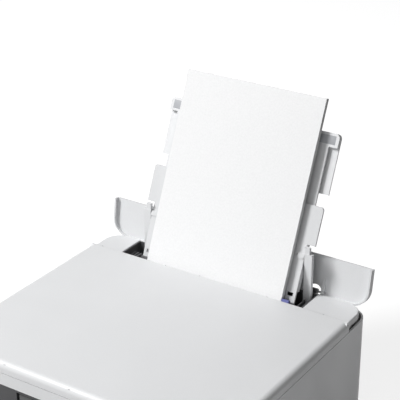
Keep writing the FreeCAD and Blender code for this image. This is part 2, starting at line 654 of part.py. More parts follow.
# Base pan: shallow tray with stiffening ribs, carrying the works
def base_pan():
    top = "foot_height + pan_rise"
    outer = rounded_tray("pan_outer", spread("half_width - pan_inset"),
                         ("front_y + pan_inset", "back_y - pan_inset"), ("foot_height", top),
                         "rear_radius - pan_inset", "front_radius - pan_inset")
    inner = rounded_tray("pan_inner", spread("half_width - pan_inset - wall"),
                         ("front_y + pan_inset + wall", "back_y - pan_inset - wall"),
                         ("floor_z", f"{top} + over"),
                         "rear_radius - pan_inset - wall", "front_radius - pan_inset - wall")
    tray = cut("pan_tray", outer, inner)
    ribs = [block(f"pan_rib_{i}", about(f"{i} * pan_rib_x", "rib_half"),
                  ("front_y + pan_inset + over", "eject_y - pan_rib_gap"),
                  ("floor_z - over", "floor_z + pan_rib"))
            for i in (-2, -1, 0, 1, 2)]
    return join("base_pan", tray, *ribs)


def rubber_feet():
    feet = []
    for across in ("-half_width + foot_inset", "half_width - foot_inset"):
        for along in ("front_y + foot_inset", "back_y - foot_inset"):
            foot = doc.addObject("Part::Cone", "foot")
            bind(foot, "Radius1", "foot_radius - foot_taper")
            bind(foot, "Radius2", "foot_radius")
            bind(foot, "Height", "foot_height")
            place(foot, across, along, "0")
            feet.append(foot)
    return gather("rubber_feet", *feet)


# Casing: four walls with a front window, rear vents and port openings
def main_casing():
    zs = ("skirt_z", "casing_top")
    outer = rounded_tray("casing_outer", spread("half_width"), ("front_y", "back_y"), zs,
                         "rear_radius", "front_radius")
    inner = rounded_tray("casing_inner", spread("inside_x"), ("front_y + wall", "back_y - wall"),
                         ("skirt_z - over", "casing_top + over"), "rear_radius - wall",
                         "front_radius - wall")
    window = block("casing_window", spread("fascia_half"), ("front_y - over", "front_y + wall + over"),
                   ("fascia_low", "fascia_high"))
    through = ("back_y - wall - over", "back_y + over")
    inlet = block("inlet_hole", about("inlet_x", "(inlet_width / 2 + part_gap)"),
                  through, ("inlet_low - part_gap", "inlet_low + inlet_height + part_gap"))
    port = block("usb_hole", about("usb_x", "(usb_width / 2 + part_gap)"),
                 through, ("usb_low - part_gap", "usb_low + usb_height + part_gap"))
    first = "-(vent_count - 1) / 2 * vent_pitch"
    vents = [block(f"vent_{i}", about(f"{first} + {i} * vent_pitch", "vent_width / 2"),
                   through, ("vent_low", "vent_low + vent_height"))
             for i in range(int(number("vent_count")))]
    return cut("main_casing", outer, inner, window, inlet, port, *vents)


# Front fascia: framed panel with the output slot, its bay and the control panel's recess
def front_fascia():
    gap = "part_gap"
    face = block("fascia_face", spread(f"fascia_half - {gap}"), ("front_y", "front_y + wall + fascia_lap"),
                 (f"fascia_low + {gap}", f"fascia_high - {gap}"))
    flange = block("fascia_flange_ring", spread("fascia_half + fascia_flange"),
                   (f"front_y + wall + {gap}", f"front_y + 2 * wall + {gap}"),
                   ("fascia_low - fascia_flange", "fascia_high + fascia_flange"))
    bay = block("bay_shell", spread("slot_half + wall"), ("front_y + over", "front_y + bay_depth"),
                ("slot_low - wall", "slot_high + wall"))
    cradle = block("panel_cradle", spread("panel_half + wall + part_gap"),
                   ("front_y + over", "panel_face + panel_depth + wall + over"),
                   ("slot_high", "panel_high + wall"))
    slot = block("slot_room", spread("slot_half"), ("front_y - over", "front_y + bay_depth + over"),
                 ("slot_low", "slot_high"))
    recess = block("panel_room", spread(f"panel_half + {gap}"),
                   ("front_y - over", "panel_face + panel_depth + over"),
                   (f"panel_low - {gap}", f"panel_high + {gap}"))
    pivots = rod("panel_bore", "x", "panel_pin + run_gap", spread("panel_half + wall"),
                 ("panel_axis_y", "panel_axis_z"))
    return cut("front_fascia", join("fascia_solid", face, flange, bay, cradle), slot, recess, pivots)


def control_panel():
    case = prism("panel_case", "YZ_Plane", [
        ("panel_face", "panel_low"), ("panel_face + panel_depth * 0.6", "panel_low"),
        ("panel_face + panel_depth", "panel_low + panel_depth * 0.6"),
        ("panel_face + panel_depth", "panel_high"),
        ("panel_face", "panel_high")], "2 * panel_half", "-panel_half")
    soften(case, "panel_depth / 2 - 0.2", lambda edge: edge.BoundBox.XLength > 10
           and edge.BoundBox.ZMin > number("panel_high") - 0.01)
    pins = rod("panel_pins", "x", "panel_pin", spread("panel_half + wall"),
               ("panel_axis_y", "panel_axis_z"))
    pocket = block("screen_pocket", spread("screen_half"),
                   ("panel_face - over", "panel_face + screen_plate"),
                   about("button_z", "screen_height / 2"))
    bores = [rod("button_bore", "y", "button_radius + part_gap",
                 ("panel_face - over", "panel_face + button_length + over"), (spot, "button_z"))
             for spot in ("button_power_x", "button_stop_x", "button_start_x")]
    return cut("control_panel", join("panel_solid", case, pins), pocket, *bores)


def screen():
    return block("screen", spread("screen_half - part_gap / 2"),
                 ("panel_face", "panel_face + screen_plate"),
                 about("button_z", "(screen_height - part_gap) / 2"))


def button(name, spot):
    span = ("panel_face - button_proud", "panel_face - button_proud + button_length")
    cap = rod(f"{name}_stem", "y", "button_radius", span, (spot, "button_z"))
    dish = doc.addObject("Part::Sphere", f"{name}_dish")
    bind(dish, "Radius", "button_dish_radius")
    place(dish, spot, "panel_face - button_proud - button_dish_radius + button_dish", "button_z")
    return cut(name, cap, dish)


def output_tray():
    plate = block("tray_floor", spread("tray_half"), ("front_y + over", "tray_back"),
                  ("slot_low + part_gap", "tray_top"))
    lip = block("tray_front", spread("tray_half"), ("front_y", "front_y + tray_lip_depth"),
                ("slot_low + part_gap", "slot_low + part_gap + tray_lip"))
    groove = block("leaf_groove", spread("leaf_half + part_gap"), ("front_y - over", "tray_back - wall"),
                   ("tray_top - leaf_plate - part_gap", "tray_top + over"))
    notch = block("lip_notch", spread("leaf_half + part_gap"),
                  ("front_y - over", "front_y + tray_lip_depth + over"),
                  ("tray_top - leaf_plate - part_gap", "slot_low + tray_lip + over"))
    return cut("output_tray", join("tray_solid", plate, lip), groove, notch)


def tray_extension():
    low = "tray_top - leaf_plate"
    leaf = block("leaf_floor", spread("leaf_half"), ("front_y + over", "tray_back - wall - part_gap"),
                 (low, "tray_top"))
    lip = block("leaf_lip", spread("leaf_half"), ("front_y", "front_y + tray_lip_depth"),
                (low, "slot_low + part_gap + tray_lip"))
    thumb = rod("leaf_thumb", "y", "tray_lip", ("front_y - over", "front_y + tray_lip_depth + over"),
                ("0", "slot_low + 2 * tray_lip - thumb_dip"))
    return cut("tray_extension", join("leaf_solid", leaf, lip), thumb)


# Top deck: inner frame under the lid with the service window and the lid's hinge lugs
def top_deck():
    inset = "(wall + part_gap)"
    zs = ("deck_top - deck_plate", "deck_top")
    sheet = rounded_tray("deck_sheet", spread(f"half_width - {inset}"),
                         (f"front_y + {inset}", f"back_y - {inset}"),
                         zs, f"rear_radius - {inset}", f"front_radius - {inset}")
    lugs = []
    for side in (-1, 1):
        across = about(f"{side} * lug_x", "lug_width / 2")
        stem = block("lug_stem_block", across, ("lid_axis_y - lug_radius", "lid_axis_y + lug_stem"),
                     ("deck_top - over", "lid_axis_z"))
        lugs += [stem, rod("lug_head", "x", "lug_radius", across, ("lid_axis_y", "lid_axis_z"))]
    window = block("deck_window", spread("inside_x - deck_side"),
                   ("front_y + deck_front", "seam_y - deck_back"),
                   ("deck_top - deck_reach", "deck_top + deck_reach"))
    well = block("deck_well", ("open_left", "open_right"), ("seam_y", "open_back"),
                 ("deck_top - deck_reach", "deck_top + well_clear"))
    throat = block("deck_throat", about("paper_x", "(throat_half + part_gap)"),
                   ("seam_y - throat_reach - throat_room", "seam_y + over"),
                   ("deck_top - deck_reach", "deck_top + well_clear"))
    pin = rod("lug_bore", "x", "lid_pin", spread("half_width"), ("lid_axis_y", "lid_axis_z"))
    hangers = [block("pick_hanger", mirrored("throat_half", "pick_half", side),
                     about("pick_y", "pick_shaft * 2"),
                     ("pick_z - pick_shaft * 2", "deck_top")) for side in (-1, 1)]
    axle = rod("pick_bore", "x", "pick_shaft + run_gap", spread("half_width"), ("pick_y", "pick_z"))
    frame = cut("deck_frame", join("deck_solid", sheet, *lugs), window, well, throat, pin)
    return cut("top_deck", join("deck_hung", frame, *hangers), axle)


# Lid: rounded cap with ribs, hinge barrel along its rear edge and notches for the lugs
def top_cover():
    ys = ("front_y", "seam_y")
    corners = [("-half_width", ys[0]), ("half_width", ys[0]), ("half_width", ys[1]), ("-half_width", ys[1])]
    shell = prism("lid_shell", "XY_Plane", corners, "lid_rim", "rim_z")
    front, rear, top = number("front_y"), number("seam_y"), number("lid_height")
    soften(shell, "front_radius", lambda edge: upright(edge) and edge.BoundBox.YMax < front + 1)
    soften(shell, "lid_round",
           lambda edge: edge.BoundBox.ZMin > top - 0.01 and edge.BoundBox.YMin < rear - 1)
    soften(shell, "lid_barrel",
           lambda edge: edge.BoundBox.YMin > rear - 0.01 and edge.BoundBox.ZMin > top - 0.01)
    room = block("lid_room", spread("inside_x"), ("front_y + wall", "lid_axis_y - lid_barrel"),
                 ("rim_z - over", "lid_height - lid_plate"))
    ribs = [block("lid_rib_bar", about(f"{i} * lid_rib_x", "rib_half"),
                  ("front_y + wall - over", "lid_axis_y"),
                  ("lid_height - lid_plate - lid_rib", "lid_height - lid_plate + over"))
            for i in (-1, 0, 1)]
    under = block("lid_under", spread("inside_x"), ("lid_axis_y - lid_barrel - over", "seam_y + over"),
                  ("rim_z - over", "lid_axis_z"))
    barrel = rod("lid_roll", "x", "lid_barrel", spread("inside_x + over"), ("lid_axis_y", "lid_axis_z"))
    heel = cut("lid_heel", block("heel_block", spread("half_width + over"),
                                 ("seam_y - lid_barrel", "seam_y + over"),
                                 ("rim_z - over", "rim_z + lid_barrel")),
               rod("heel_round", "x", "lid_barrel", spread("half_width + 2 * over"),
                   ("seam_y - lid_barrel", "rim_z + lid_barrel")))
    notches = []
    for side in (-1, 1):
        half = "(lug_width / 2 + part_gap)"
        across = about(f"{side} * lug_x", half)
        notches.append(block("lid_notch", across, ("lid_axis_y - 2 * lid_barrel", "seam_y + over"),
                             ("rim_z - over", "lid_axis_z + part_gap")))
        notches.append(rod("lid_socket", "x", "lug_radius + part_gap", across,
                           ("lid_axis_y", "lid_axis_z")))
        reach = "(lug_width / 2 + lid_pin_grip + part_gap)"
        notches.append(rod("lid_bore", "x", "lid_pin + run_gap", about(f"{side} * lug_x", reach),
                           ("lid_axis_y", "lid_axis_z")))
    hollow = cut("lid_hollow", shell, room, under, heel)
    return cut("top_cover", join("lid_ribbed", hollow, barrel, *ribs), *notches)


# Rear bezel: the pads either side of the feed opening and the thin bar behind it
def rear_bezel():
    ys = ("seam_y + shut_line", "bezel_back")
    radius = "rear_radius - bezel_inset"
    outer = rounded_tray("bezel_outer", spread("bezel_half"), ys, ("bezel_low", "bezel_top"), radius)
    top, rear = number("bezel_top"), number("bezel_back")
    soften(outer, "bezel_round", lambda edge: edge.BoundBox.ZMin > top - 0.01
           and edge.BoundBox.YMax > number("seam_y + shut_line") + 1)
    inner = rounded_tray("bezel_inner", spread("bezel_half - wall"),
                         ("seam_y + shut_line + wall", "bezel_back - wall"),
                         ("bezel_low - over", "bezel_top - wall"), f"{radius} - wall")
    feet = []
    for side in (-1, 1):
        across = sided(side, "bezel_half - bezel_foot - wall", "bezel_half - bezel_foot")
        feet.append(block("bezel_leg", across, ("seam_y + shut_line", "bezel_back - rear_radius"),
                          ("deck_top", "bezel_top - wall + over")))
    opening = block("bezel_opening", ("open_left", "open_right"), ("seam_y", "open_back"),
                    ("bezel_low - over", "bezel_top + over"))
    notches = [block("ear_gap", about(f"paper_x + {side} * ear_x", "(ear_half + part_gap)"),
                     ("open_back - over", "bezel_back + over"),
                     ("cover_z - ear_radius - part_gap", "bezel_top + over"))
               for side in (-1, 1)]
    return cut("rear_bezel", join("bezel_solid", cut("bezel_shell", outer, inner), *feet), opening,
               *notches)


# Feed well: dark hopper behind the lid with the paper's seat, guide ledges and cover ears
def feed_well():
    gap = "part_gap"
    left, right = f"open_left + {gap}", f"open_right - {gap}"
    front, back = f"seam_y + shut_line + {gap}", f"open_back - {gap}"
    box = block("well_box", (left, right), (front, back), ("well_floor", "lid_height - well_top"))
    throat = block("well_throat", about("paper_x", "throat_half"),
                   ("seam_y - throat_reach", "seam_y + throat_lap"),
                   ("well_floor", "lid_height - throat_drop"))
    room = block("well_room", (f"{left} + well_wall", f"{right} - well_wall"),
                 (f"{front} + well_wall", f"{back} - well_wall"),
                 ("well_floor + well_base", "lid_height"))
    hollow_half = "throat_half - well_wall"
    sheet_half = f"sheet_width / 2 + {gap} + sheet_room"
    ledge = leaning("ledge_room", spread(hollow_half), ("-slot_depth", "well_tool_depth"),
                    ("-paper_sunk + ledge_rise - part_gap", "well_tool_height"))
    seat = leaning("seat_room", spread(sheet_half), ("-slot_depth", "well_tool_depth"),
                   ("-paper_sunk - seat_gap", "well_tool_height"))
    swing = leaning("swing_room", spread(sheet_half), ("seat_width", "well_tool_depth"),
                    ("-paper_sunk - seat_gap - swing_drop", "well_tool_height"))
    slot = leaning("feed_slot", spread(sheet_half), ("-slot_depth", "seat_gap"),
                   ("-chute_s - slot_run", "-paper_sunk + slot_lap"))
    hollow = cut("well_hollow", join("well_solid", box, throat), room, ledge, seat, swing, slot)
    extras = []
    for side in (-1, 1):
        extras.append(leaning("support_stop", sided(side, "stop_x", "throat_half + stop_lap"),
                              ("stop_front", "plate_front - part_gap"),
                              ("-stop_top - stop_height", "-stop_top")))
        sides = about(f"paper_x + {side} * ear_x", "ear_half")
        extras.append(block("ear_arm", sides, (f"{back} - over", "cover_y"),
                            ("cover_z - ear_radius", "cover_z")))
        extras.append(rod("ear_head", "x", "ear_radius", sides, ("cover_y", "cover_z")))
    extras.append(block("bay_step", (f"{left} + over", "paper_x - post_inner - post_width - step_gap"),
                        (f"{front} + over", f"{back} - step_back"),
                        ("well_floor + over", "lid_height - bay_floor")))
    for i in (1, 2, 3):
        spot = f"{left} + {i} * bay_rib_pitch"
        extras.append(block("bay_rib_bar", (spot, f"{spot} + bay_rib"),
                            (f"{front} + over", f"{back} - bay_rib_back"),
                            ("lid_height - bay_floor - over", "lid_height - bay_floor + bay_rib_rise")))
    for offset in ("bay_wall_near", "bay_wall_far"):
        extras.append(block("bay_wall",
                            (f"paper_x + throat_half + {offset}",
                             f"paper_x + throat_half + {offset} + bay_rib"),
                            (f"{front} + over", f"{back} - bay_wall_back"),
                            ("well_floor + over", "lid_height - well_top - bay_wall_drop")))
    pins = rod("ear_bore", "x", "cover_pin", ("open_left", "open_right"), ("cover_y", "cover_z"))
    return cut("feed_well", join("well_ribbed", hollow, *extras), pins)


# Support posts: two upright stays behind the paper with the pivots of the paper support
def support_posts():
    posts = []
    for side in (-1, 1):
        across = [mirrored("post_inner", f"post_inner + {width}", side)
                  for width in ("post_width", "tip_width")]
        deep = about("post_axis_y", "post_depth / 2")
        shank = block("post_shank", across[0], deep, ("well_floor + well_base", "lid_height + post_rise"))
        tip = block("post_tip", across[1], about("post_axis_y", "(post_depth / 2 - tip_inset)"),
                    ("lid_height + post_rise - over", "lid_height + post_rise + tip_rise"))
        bore = rod("post_bore", "x", "tilt_pin", across[0], ("post_axis_y", "pin_z"))
        posts.append(cut("post", join("post_solid", shank, tip), bore))
    return gather("support_posts", *posts)


# Paper support: necked plate with paper ribs in front and extension rails behind
def paper_support():
    half = [("neck_half", "-neck_low"), ("neck_half", "shoulder_s"), ("plate_half", "shoulder_s"),
            ("plate_half", "plate_top")]
    outline = half + [(f"-{across}", height) for across, height in reversed(half)]
    panel = prism("support_panel", "XZ_Plane", outline, "plate_thick", "-plate_front", True)
    high, low = number("plate_top"), number("-neck_low")

    def corner(edge):
        """True for an edge through the plate at its upper or lower end."""
        box = edge.BoundBox
        return box.YLength > 1 and (box.ZMin > high - 0.01 or box.ZMax < low + 0.01)

    soften(panel, "plate_round", corner)
    lean(panel)
    pieces = [panel]
    holes = []
    for side in (-1, 1):
        outer = "ext_half + part_gap"
        pieces.append(leaning("rail_side", sided(side, outer, f"{outer} + rail_wall"),
                              ("plate_back - over", "rail_back + rail_wall / 2"),
                              ("rail_low", "plate_top - plate_round")))
        pieces.append(leaning("rail_edge", sided(side, f"{outer} - rail_lip", f"{outer} + over"),
                              ("ext_back + part_gap", "rail_back + rail_wall / 2"),
                              ("rail_low", "plate_top - plate_round")))
        pieces.append(leaning("pivot_boss", sided(side, "neck_half - tilt_pin_grip - over", "neck_half"),
                              ("pin_depth - tilt_pin - boss_skin", "plate_back"),
                              about("pin_s", "(tilt_pin + boss_wall)")))
        pieces.append(leaning("paper_rib", sided(side, "rest_rib - rib_half", "rest_rib + rib_half"),
                              ("stack_depth + part_gap", "plate_front + over"),
                              ("0", "plate_top - plate_round")))
        holes.append(leaning("plate_slot",
                             sided(side, "neck_half - plate_slot_in", "neck_half - plate_slot_out"),
                             ("plate_front - over", "plate_back + over"),
                             ("rail_low - plate_slot_low", "rail_low - plate_slot_high")))
        holes.append(rod("pivot_bore", "x", "tilt_pin + run_gap",
                         about(f"paper_x + {side} * (neck_half - tilt_pin_grip / 2)", "tilt_pin_grip"),
                         ("post_axis_y", "pin_z")))
    pieces.append(leaning("paper_rib_mid", spread("rib_half"),
                          ("stack_depth + part_gap", "plate_front + over"),
                          ("0", "plate_top - plate_round")))
    return cut("paper_support", join("support_solid", *pieces), *holes)


# Support extension: sliding panel with set-back wings and a grip along its top
def support_extension():
    grip = prism("grip", "XZ_Plane",
                 [("-wing_half", "ext_shoulder"), ("wing_half", "ext_shoulder"), ("wing_half", "ext_top"),
                  ("-wing_half", "ext_top")],
                 "wing_front + wing_thick - ext_front", "-ext_front", True)
    high = number("ext_top")
    soften(grip, "ext_round", lambda edge: edge.BoundBox.YLength > 1 and edge.BoundBox.ZMin > high - 0.01)
    lean(grip)
    panel = leaning("ext_panel", spread("ext_half"), ("ext_front", "ext_back"),
                    ("ext_low", "ext_shoulder + 2 * over"))
    pieces = [grip, panel]
    for side in (-1, 1):
        inner = "ext_half - rail_lip - part_gap - wing_web"
        pieces.append(leaning("wing", sided(side, inner, "wing_half"),
                              ("wing_front", "wing_front + wing_thick"),
                              ("wing_low", "ext_shoulder + 2 * over")))
        pieces.append(leaning("wing_bridge", sided(side, inner, f"{inner} + wing_web"),
                              ("ext_back - over", "wing_front + over"),
                              ("wing_low", "ext_shoulder + 2 * over")))
    dish = leaning("grip_dish", spread("wing_half - ext_round - dish_side"),
                   ("ext_front - over", "ext_front + dish_depth"),
                   ("ext_shoulder + dish_below", "ext_top - dish_side"))
    return cut("support_extension", join("ext_solid", *pieces), dish)


def paper_stack():
    return leaning("paper_stack", spread("sheet_width / 2"), ("0", "stack_depth"),
                   ("-paper_sunk", "sheet_length - paper_sunk"))


def paper_guide(name, side):
    fence = leaning(f"{name}_fence", sided(side, "guide_x", "guide_x + guide_wall"),
                    ("part_gap", "guide_back"),
                    ("-paper_sunk + ledge_rise", "0"))
    tab = leaning(f"{name}_tab", sided(side, "guide_x", "guide_x + guide_wall + guide_tab"),
                  ("part_gap", "part_gap + guide_tab_depth"),
                  ("-guide_tab_height", "0"))
    return join(name, fence, tab)


# Feed cover: shallow rimmed lid of the hopper, standing open behind the paper
def feed_cover():
    top = "cover_rise + cover_plate"
    outer = rounded_tray("cover_outer", spread("half_width"), ("-cover_reach", "cover_back"),
                         ("cover_rise - cover_rim", top), "rear_radius")
    inner = rounded_tray("cover_inner", spread("half_width - wall"),
                         ("-cover_reach - 20 * over", "cover_back - wall"),
                         ("cover_rise - cover_rim - over", "cover_rise"), "rear_radius - wall")
    low = block("cover_low", spread("half_width - wall"), ("-cover_lug_radius * 2", "cover_back + over"),
                ("cover_rise - cover_rim - over", "cover_rise - cover_rear_rim"))
    notches = [rod("ear_clearance", "z", "ear_notch", spread("20 * over"),
                   (f"paper_x + {side} * ear_x", "0")) for side in (-1, 1)]
    shell = cut("cover_shell", outer, inner, low, *notches)
    lugs = []
    bores = []
    for side in (-1, 1):
        across = mirrored("cover_lug_x", "cover_lug_x + cover_lug", side)
        lugs.append(rod("cover_knuckle", "x", "cover_lug_radius", across, ("0", "0")))
        lugs.append(block("cover_knuckle_root", across, spread("cover_lug_radius"),
                          ("0", "cover_rise + over")))
        bores.append(rod("cover_bore", "x", "cover_pin + run_gap",
                         (f"{across[0]} - over", f"{across[1]} + over"), ("0", "0")))
    cover = cut("feed_cover", join("cover_solid", shell, *lugs), *bores)
    cover.Placement = FreeCAD.Placement(FreeCAD.Vector(), FreeCAD.Rotation(FreeCAD.Vector(1, 0, 0), -90))
    bind(cover, "Placement.Rotation.Angle", "-cover_open")
    place(cover, "0", "cover_y", "cover_z")
    return cover


# Hinge pins: steel rods of the lid, the paper support and the feed cover
def hinge_pins():
    reach = "(lug_width / 2 + lid_pin_grip)"
    pins = [rod("lid_pin_rod", "x", "lid_pin", about(f"{side} * lug_x", reach),
                ("lid_axis_y", "lid_axis_z")) for side in (-1, 1)]
    rows = [("pivot_pin", "tilt_pin", "neck_half - tilt_pin_grip", "post_inner + post_width",
             ("post_axis_y", "pin_z")),
            ("cover_pin_rod", "cover_pin", "ear_x - ear_half", "cover_lug_x + cover_lug",
             ("cover_y", "cover_z"))]
    for name, radius, near, far, spot in rows:
        pins += [rod(name, "x", radius, mirrored(near, far, side), spot) for side in (-1, 1)]
    return gather("hinge_pins", *pins)


# Paper feed: pickup roller in front of the stack and the chute down to the main roller
def pickup_roller():
    middle = ("pick_y", "pick_z")
    shaft = rod("pick_axle", "x", "pick_shaft", about("paper_x", "(pick_half + pick_end)"), middle)
    tyres = [rod("pick_tyre_ring", "x", "pick_radius",
                 about(f"paper_x + {side} * pick_tyre_x", "pick_tyre / 2"), middle) for side in (-1, 1)]
    return join("pickup_roller", shaft, *tyres)


def feed_chute():
    across = about("paper_x", "chute_half")
    centre = ("chute_y", "path_z + chute_radius")
    outer = rod("chute_outer", "x", "chute_radius + chute_gap + chute_plate", across, centre)
    bind(outer, "Angle", "90 - tilt")
    bore = rod("chute_bore", "x", "chute_radius + chute_gap",
               ("paper_x - chute_half - over", "paper_x + chute_half + over"), centre)
    low, high = "path_z - chute_gap - chute_plate", "path_z - chute_gap"
    flat = block("chute_flat", across, ("roller_y + roller_radius + over", "chute_y + over"), (low, high))
    legs = [block("chute_leg", span, ("chute_y - chute_leg", "chute_y"), ("floor_z", f"{low} + over"))
            for span in ((across[0], f"{across[0]} + leg_width"), (f"{across[1]} - leg_width", across[1]))]
    return join("feed_chute", cut("chute_bend", outer, bore), flat, *legs)


# Chassis: two side frames, the rear frame, guide shaft and encoder strip
def side_frames():
    frames = []
    ys = ("roller_y - frame_front", "roller_y + frame_rear")
    holes = [("roller_radius + run_gap", "roller_y", "axle_z"),
             ("eject_shaft + run_gap", "eject_y", "axle_z"),
             ("shaft_radius", "shaft_y", "shaft_z"), ("pinch_shaft + run_gap", "roller_y", "pinch_z"),
             ("pinch_shaft + run_gap", "eject_y", "spur_z"), ("stub_radius", "transfer_y", "axle_z"),
             ("stub_radius + run_gap", "roller_y", "pinion_z")]
    for side in (-1, 1):
        across = sided(side, "frame_x", "frame_x + frame_plate")
        sheet = block("frame_sheet", across, ys, ("floor_z", "frame_top"))
        foot = block("frame_foot", sided(side, "frame_x - frame_foot", "frame_x"), ys,
                     ("floor_z", "floor_z + frame_plate"))
        window = block("frame_window", (f"{across[0]} - over", f"{across[1]} + over"),
                       ("roller_y - frame_front + frame_margin", "roller_y - frame_window_back"),
                       ("floor_z + frame_margin", "axle_z - frame_window_top"))
        bores = [rod("frame_bore", "x", radius, (f"{across[0]} - over", f"{across[1]} + over"), (y, z))
                 for radius, y, z in holes]
        frames.append(cut("side_frame", join("frame_solid", sheet, foot), window, *bores))
    pin = rod("stub_pin", "x", "stub_radius", ("gear_out - gear_width - over", "-frame_x"),
              ("transfer_y", "axle_z"))
    collar = rod("stub_collar", "x", "stub_radius + stub_wall",
                 ("gear_out + part_gap", "-frame_x - frame_plate"),
                 ("transfer_y", "axle_z"))
    frames[0] = join("frame_with_stub", frames[0], pin, collar)
    return gather("side_frames", *frames)


def rear_frame():
    ys = ("roller_y + rear_y", "roller_y + rear_y + frame_plate")
    sheet = block("rear_sheet", spread("frame_x"), ys, ("rear_low", "frame_top"))
    flange = block("rear_flange", spread("frame_x"),
                   ("roller_y + rear_y", "roller_y + rear_y + rear_flange_depth"),
                   ("rear_low", "rear_low + frame_plate"))
    bores = [rod("rear_bore", "y", "pulley_bore + run_gap",
                 ("roller_y + rear_y - over", "roller_y + rear_y + 2 * frame_plate"),
                 (f"{side} * pulley_x", "belt_z"))
             for side in (-1, 1)]
    slots = [block("rear_slot", about(f"{i} * rear_slot_pitch", "rear_slot_half"),
                   ("roller_y + rear_y - over", "roller_y + rear_y + 2 * frame_plate"),
                   ("rear_low + rear_slot_low", "belt_z - pulley_radius - rear_slot_gap"))
             for i in (-2, -1, 0, 1, 2)]
    return cut("rear_frame", join("rear_solid", sheet, flange), *bores, *slots)


def guide_shaft():
    return rod("guide_shaft", "x", "shaft_radius", spread("frame_x + frame_plate"), ("shaft_y", "shaft_z"))


def encoder_strip():
    return block("encoder_strip", spread("frame_x"), ("shaft_y", "shaft_y + strip_thick"),
                 ("frame_top - strip_height", "frame_top"))


def drive_belt():
    ys = ("roller_y + belt_y", "roller_y + belt_y + belt_width")
    def loop(name, radius, deep):
        pieces = [block(f"{name}_run", spread("pulley_x"), deep,
                        (f"belt_z - ({radius})", f"belt_z + ({radius})"))]
        pieces += [rod(f"{name}_turn", "y", radius, deep, (f"{side} * pulley_x", "belt_z"))
                   for side in (-1, 1)]
        return join(name, *pieces)
    outer = loop("belt_outer", "pulley_radius + belt_thick", ys)
    return cut("drive_belt", outer,
               loop("belt_inner", "pulley_radius + run_gap", (f"{ys[0]} - over", f"{ys[1]} + over")))


def pulley(name, side):
    spot = (f"{side} * pulley_x", "belt_z")
    wheel = rod(f"{name}_wheel", "y", "pulley_radius",
                ("roller_y + belt_y", "roller_y + belt_y + belt_width"), spot)
    axle = rod(f"{name}_axle", "y", "pulley_bore",
               ("roller_y + belt_y - over", "roller_y + rear_y + frame_plate"), spot)
    return join(name, wheel, axle)


def carriage_motor():
    start = "roller_y + rear_y + frame_plate"
    can = rod("carriage_motor_can", "y", "motor_radius", (f"{start} + part_gap", f"{start} + motor_length"),
              ("-pulley_x", "belt_z"))
    flat = block("motor_flat", ("-pulley_x - motor_radius", "-pulley_x + motor_radius"),
                 (start, f"{start} + motor_length + over"),
                 ("belt_z + motor_radius * 0.75", "belt_z + motor_radius + over"))
    return cut("carriage_motor", can, flat)


def feed_motor():
    can = rod("feed_motor_can", "x", "motor_radius", ("-frame_x + part_gap", "-frame_x + motor_length"),
              ("roller_y", "pinion_z"))
    boss = rod("feed_motor_boss", "x", "motor_radius / 2",
               ("-frame_x + motor_length - over", "-frame_x + motor_length + motor_boss"),
               ("roller_y", "pinion_z"))
    return join("feed_motor", can, boss)


# Carriage: open pocket for four cartridges, hung on the guide shaft
def carriage():
    across = about("home_x", "carriage_width / 2")
    pocket = block("carriage_box", across, ("roller_y - carriage_front", "roller_y - carriage_back"),
                   ("carriage_z", "carriage_top"))
    bearing = block("carriage_bearing", across,
                    ("roller_y - carriage_back - over", "roller_y + bearing_back"),
                    about("shaft_z", "bearing_half"))
    clamp = block("belt_clamp", about("home_x", "clamp_half"),
                  ("roller_y + bearing_back - clamp_depth", "roller_y + bearing_back"),
                  ("shaft_z", "belt_z + pulley_radius - clamp_gap"))
    rooms = [block("ink_room", about(f"home_x + {i} * ink_pitch", "(ink_width + part_gap) / 2"),
                   ("roller_y - carriage_front + wall", "roller_y - carriage_back - wall"),
                   ("path_z + ink_floor - part_gap", "carriage_top + over"))
             for i in (-1.5, -0.5, 0.5, 1.5)]
    scoop = rod("carriage_scoop", "x", "scoop_radius",
                (f"{across[0]} + scoop_side", f"{across[1]} - scoop_side"),
                ("roller_y - carriage_front", "carriage_top + scoop_rise"))
    bore = rod("carriage_bore", "x", "shaft_radius + run_gap",
               (f"{across[0]} - over", f"{across[1]} + over"), ("shaft_y", "shaft_z"))
    return cut("carriage", join("carriage_solid", pocket, bearing, clamp), *rooms, scoop, bore)


def print_head():
    plate = block("head_plate", about("home_x", "head_half"),
                  ("roller_y - carriage_front + head_front", "roller_y - carriage_back - head_back"),
                  ("path_z + head_gap", "carriage_z"))
    return plate


def ink_cartridge(name, i):
    across = about(f"home_x + {i} * ink_pitch", "ink_width / 2")
    front = "roller_y - carriage_front + wall + part_gap / 2"
    back = "roller_y - carriage_back - wall - part_gap / 2"
    body = prism(name, "YZ_Plane", [
        (front, "path_z + ink_floor"), (back, "path_z + ink_floor"), (back, "path_z + ink_top"),
        (f"{front} + ink_step", "path_z + ink_top"),
                                    (f"{front} + ink_step", "path_z + ink_top - ink_step / 2"),
        (front, "path_z + ink_top - ink_step / 2")], "ink_width", across[0])
    top = number("path_z + ink_top")
    return soften(body, "ink_round", lambda edge: edge.BoundBox.ZMin > top - 0.01)


# Paper path: platen between the rollers, pinch and spur rollers on their beams
def platen():
    across = about("paper_x", "platen_half")
    ys = ("eject_y + roller_radius + platen_gap", "roller_y - roller_radius - platen_gap")
    low, high = "path_z - platen_depth", "path_z - platen_rib"
    bed = block("platen_bed", across, ys, (low, high))
    ribs = [block("platen_rib_bar", about(f"paper_x + {i} * platen_rib_pitch", "rib_half"), ys,
                  (f"{high} - over", "path_z - nip_gap")) for i in range(-4, 5)]
    legs = [block("platen_leg", span, ys, ("floor_z", f"{low} + over"))
            for span in ((across[0], f"{across[0]} + leg_width"), (f"{across[1]} - leg_width", across[1]))]
    return join("platen", bed, *ribs, *legs)


def main_roller():
    return rod("main_roller", "x", "roller_radius",
               ("gear_out - gear_width", "frame_x + frame_plate + axle_end"), ("roller_y", "axle_z"))


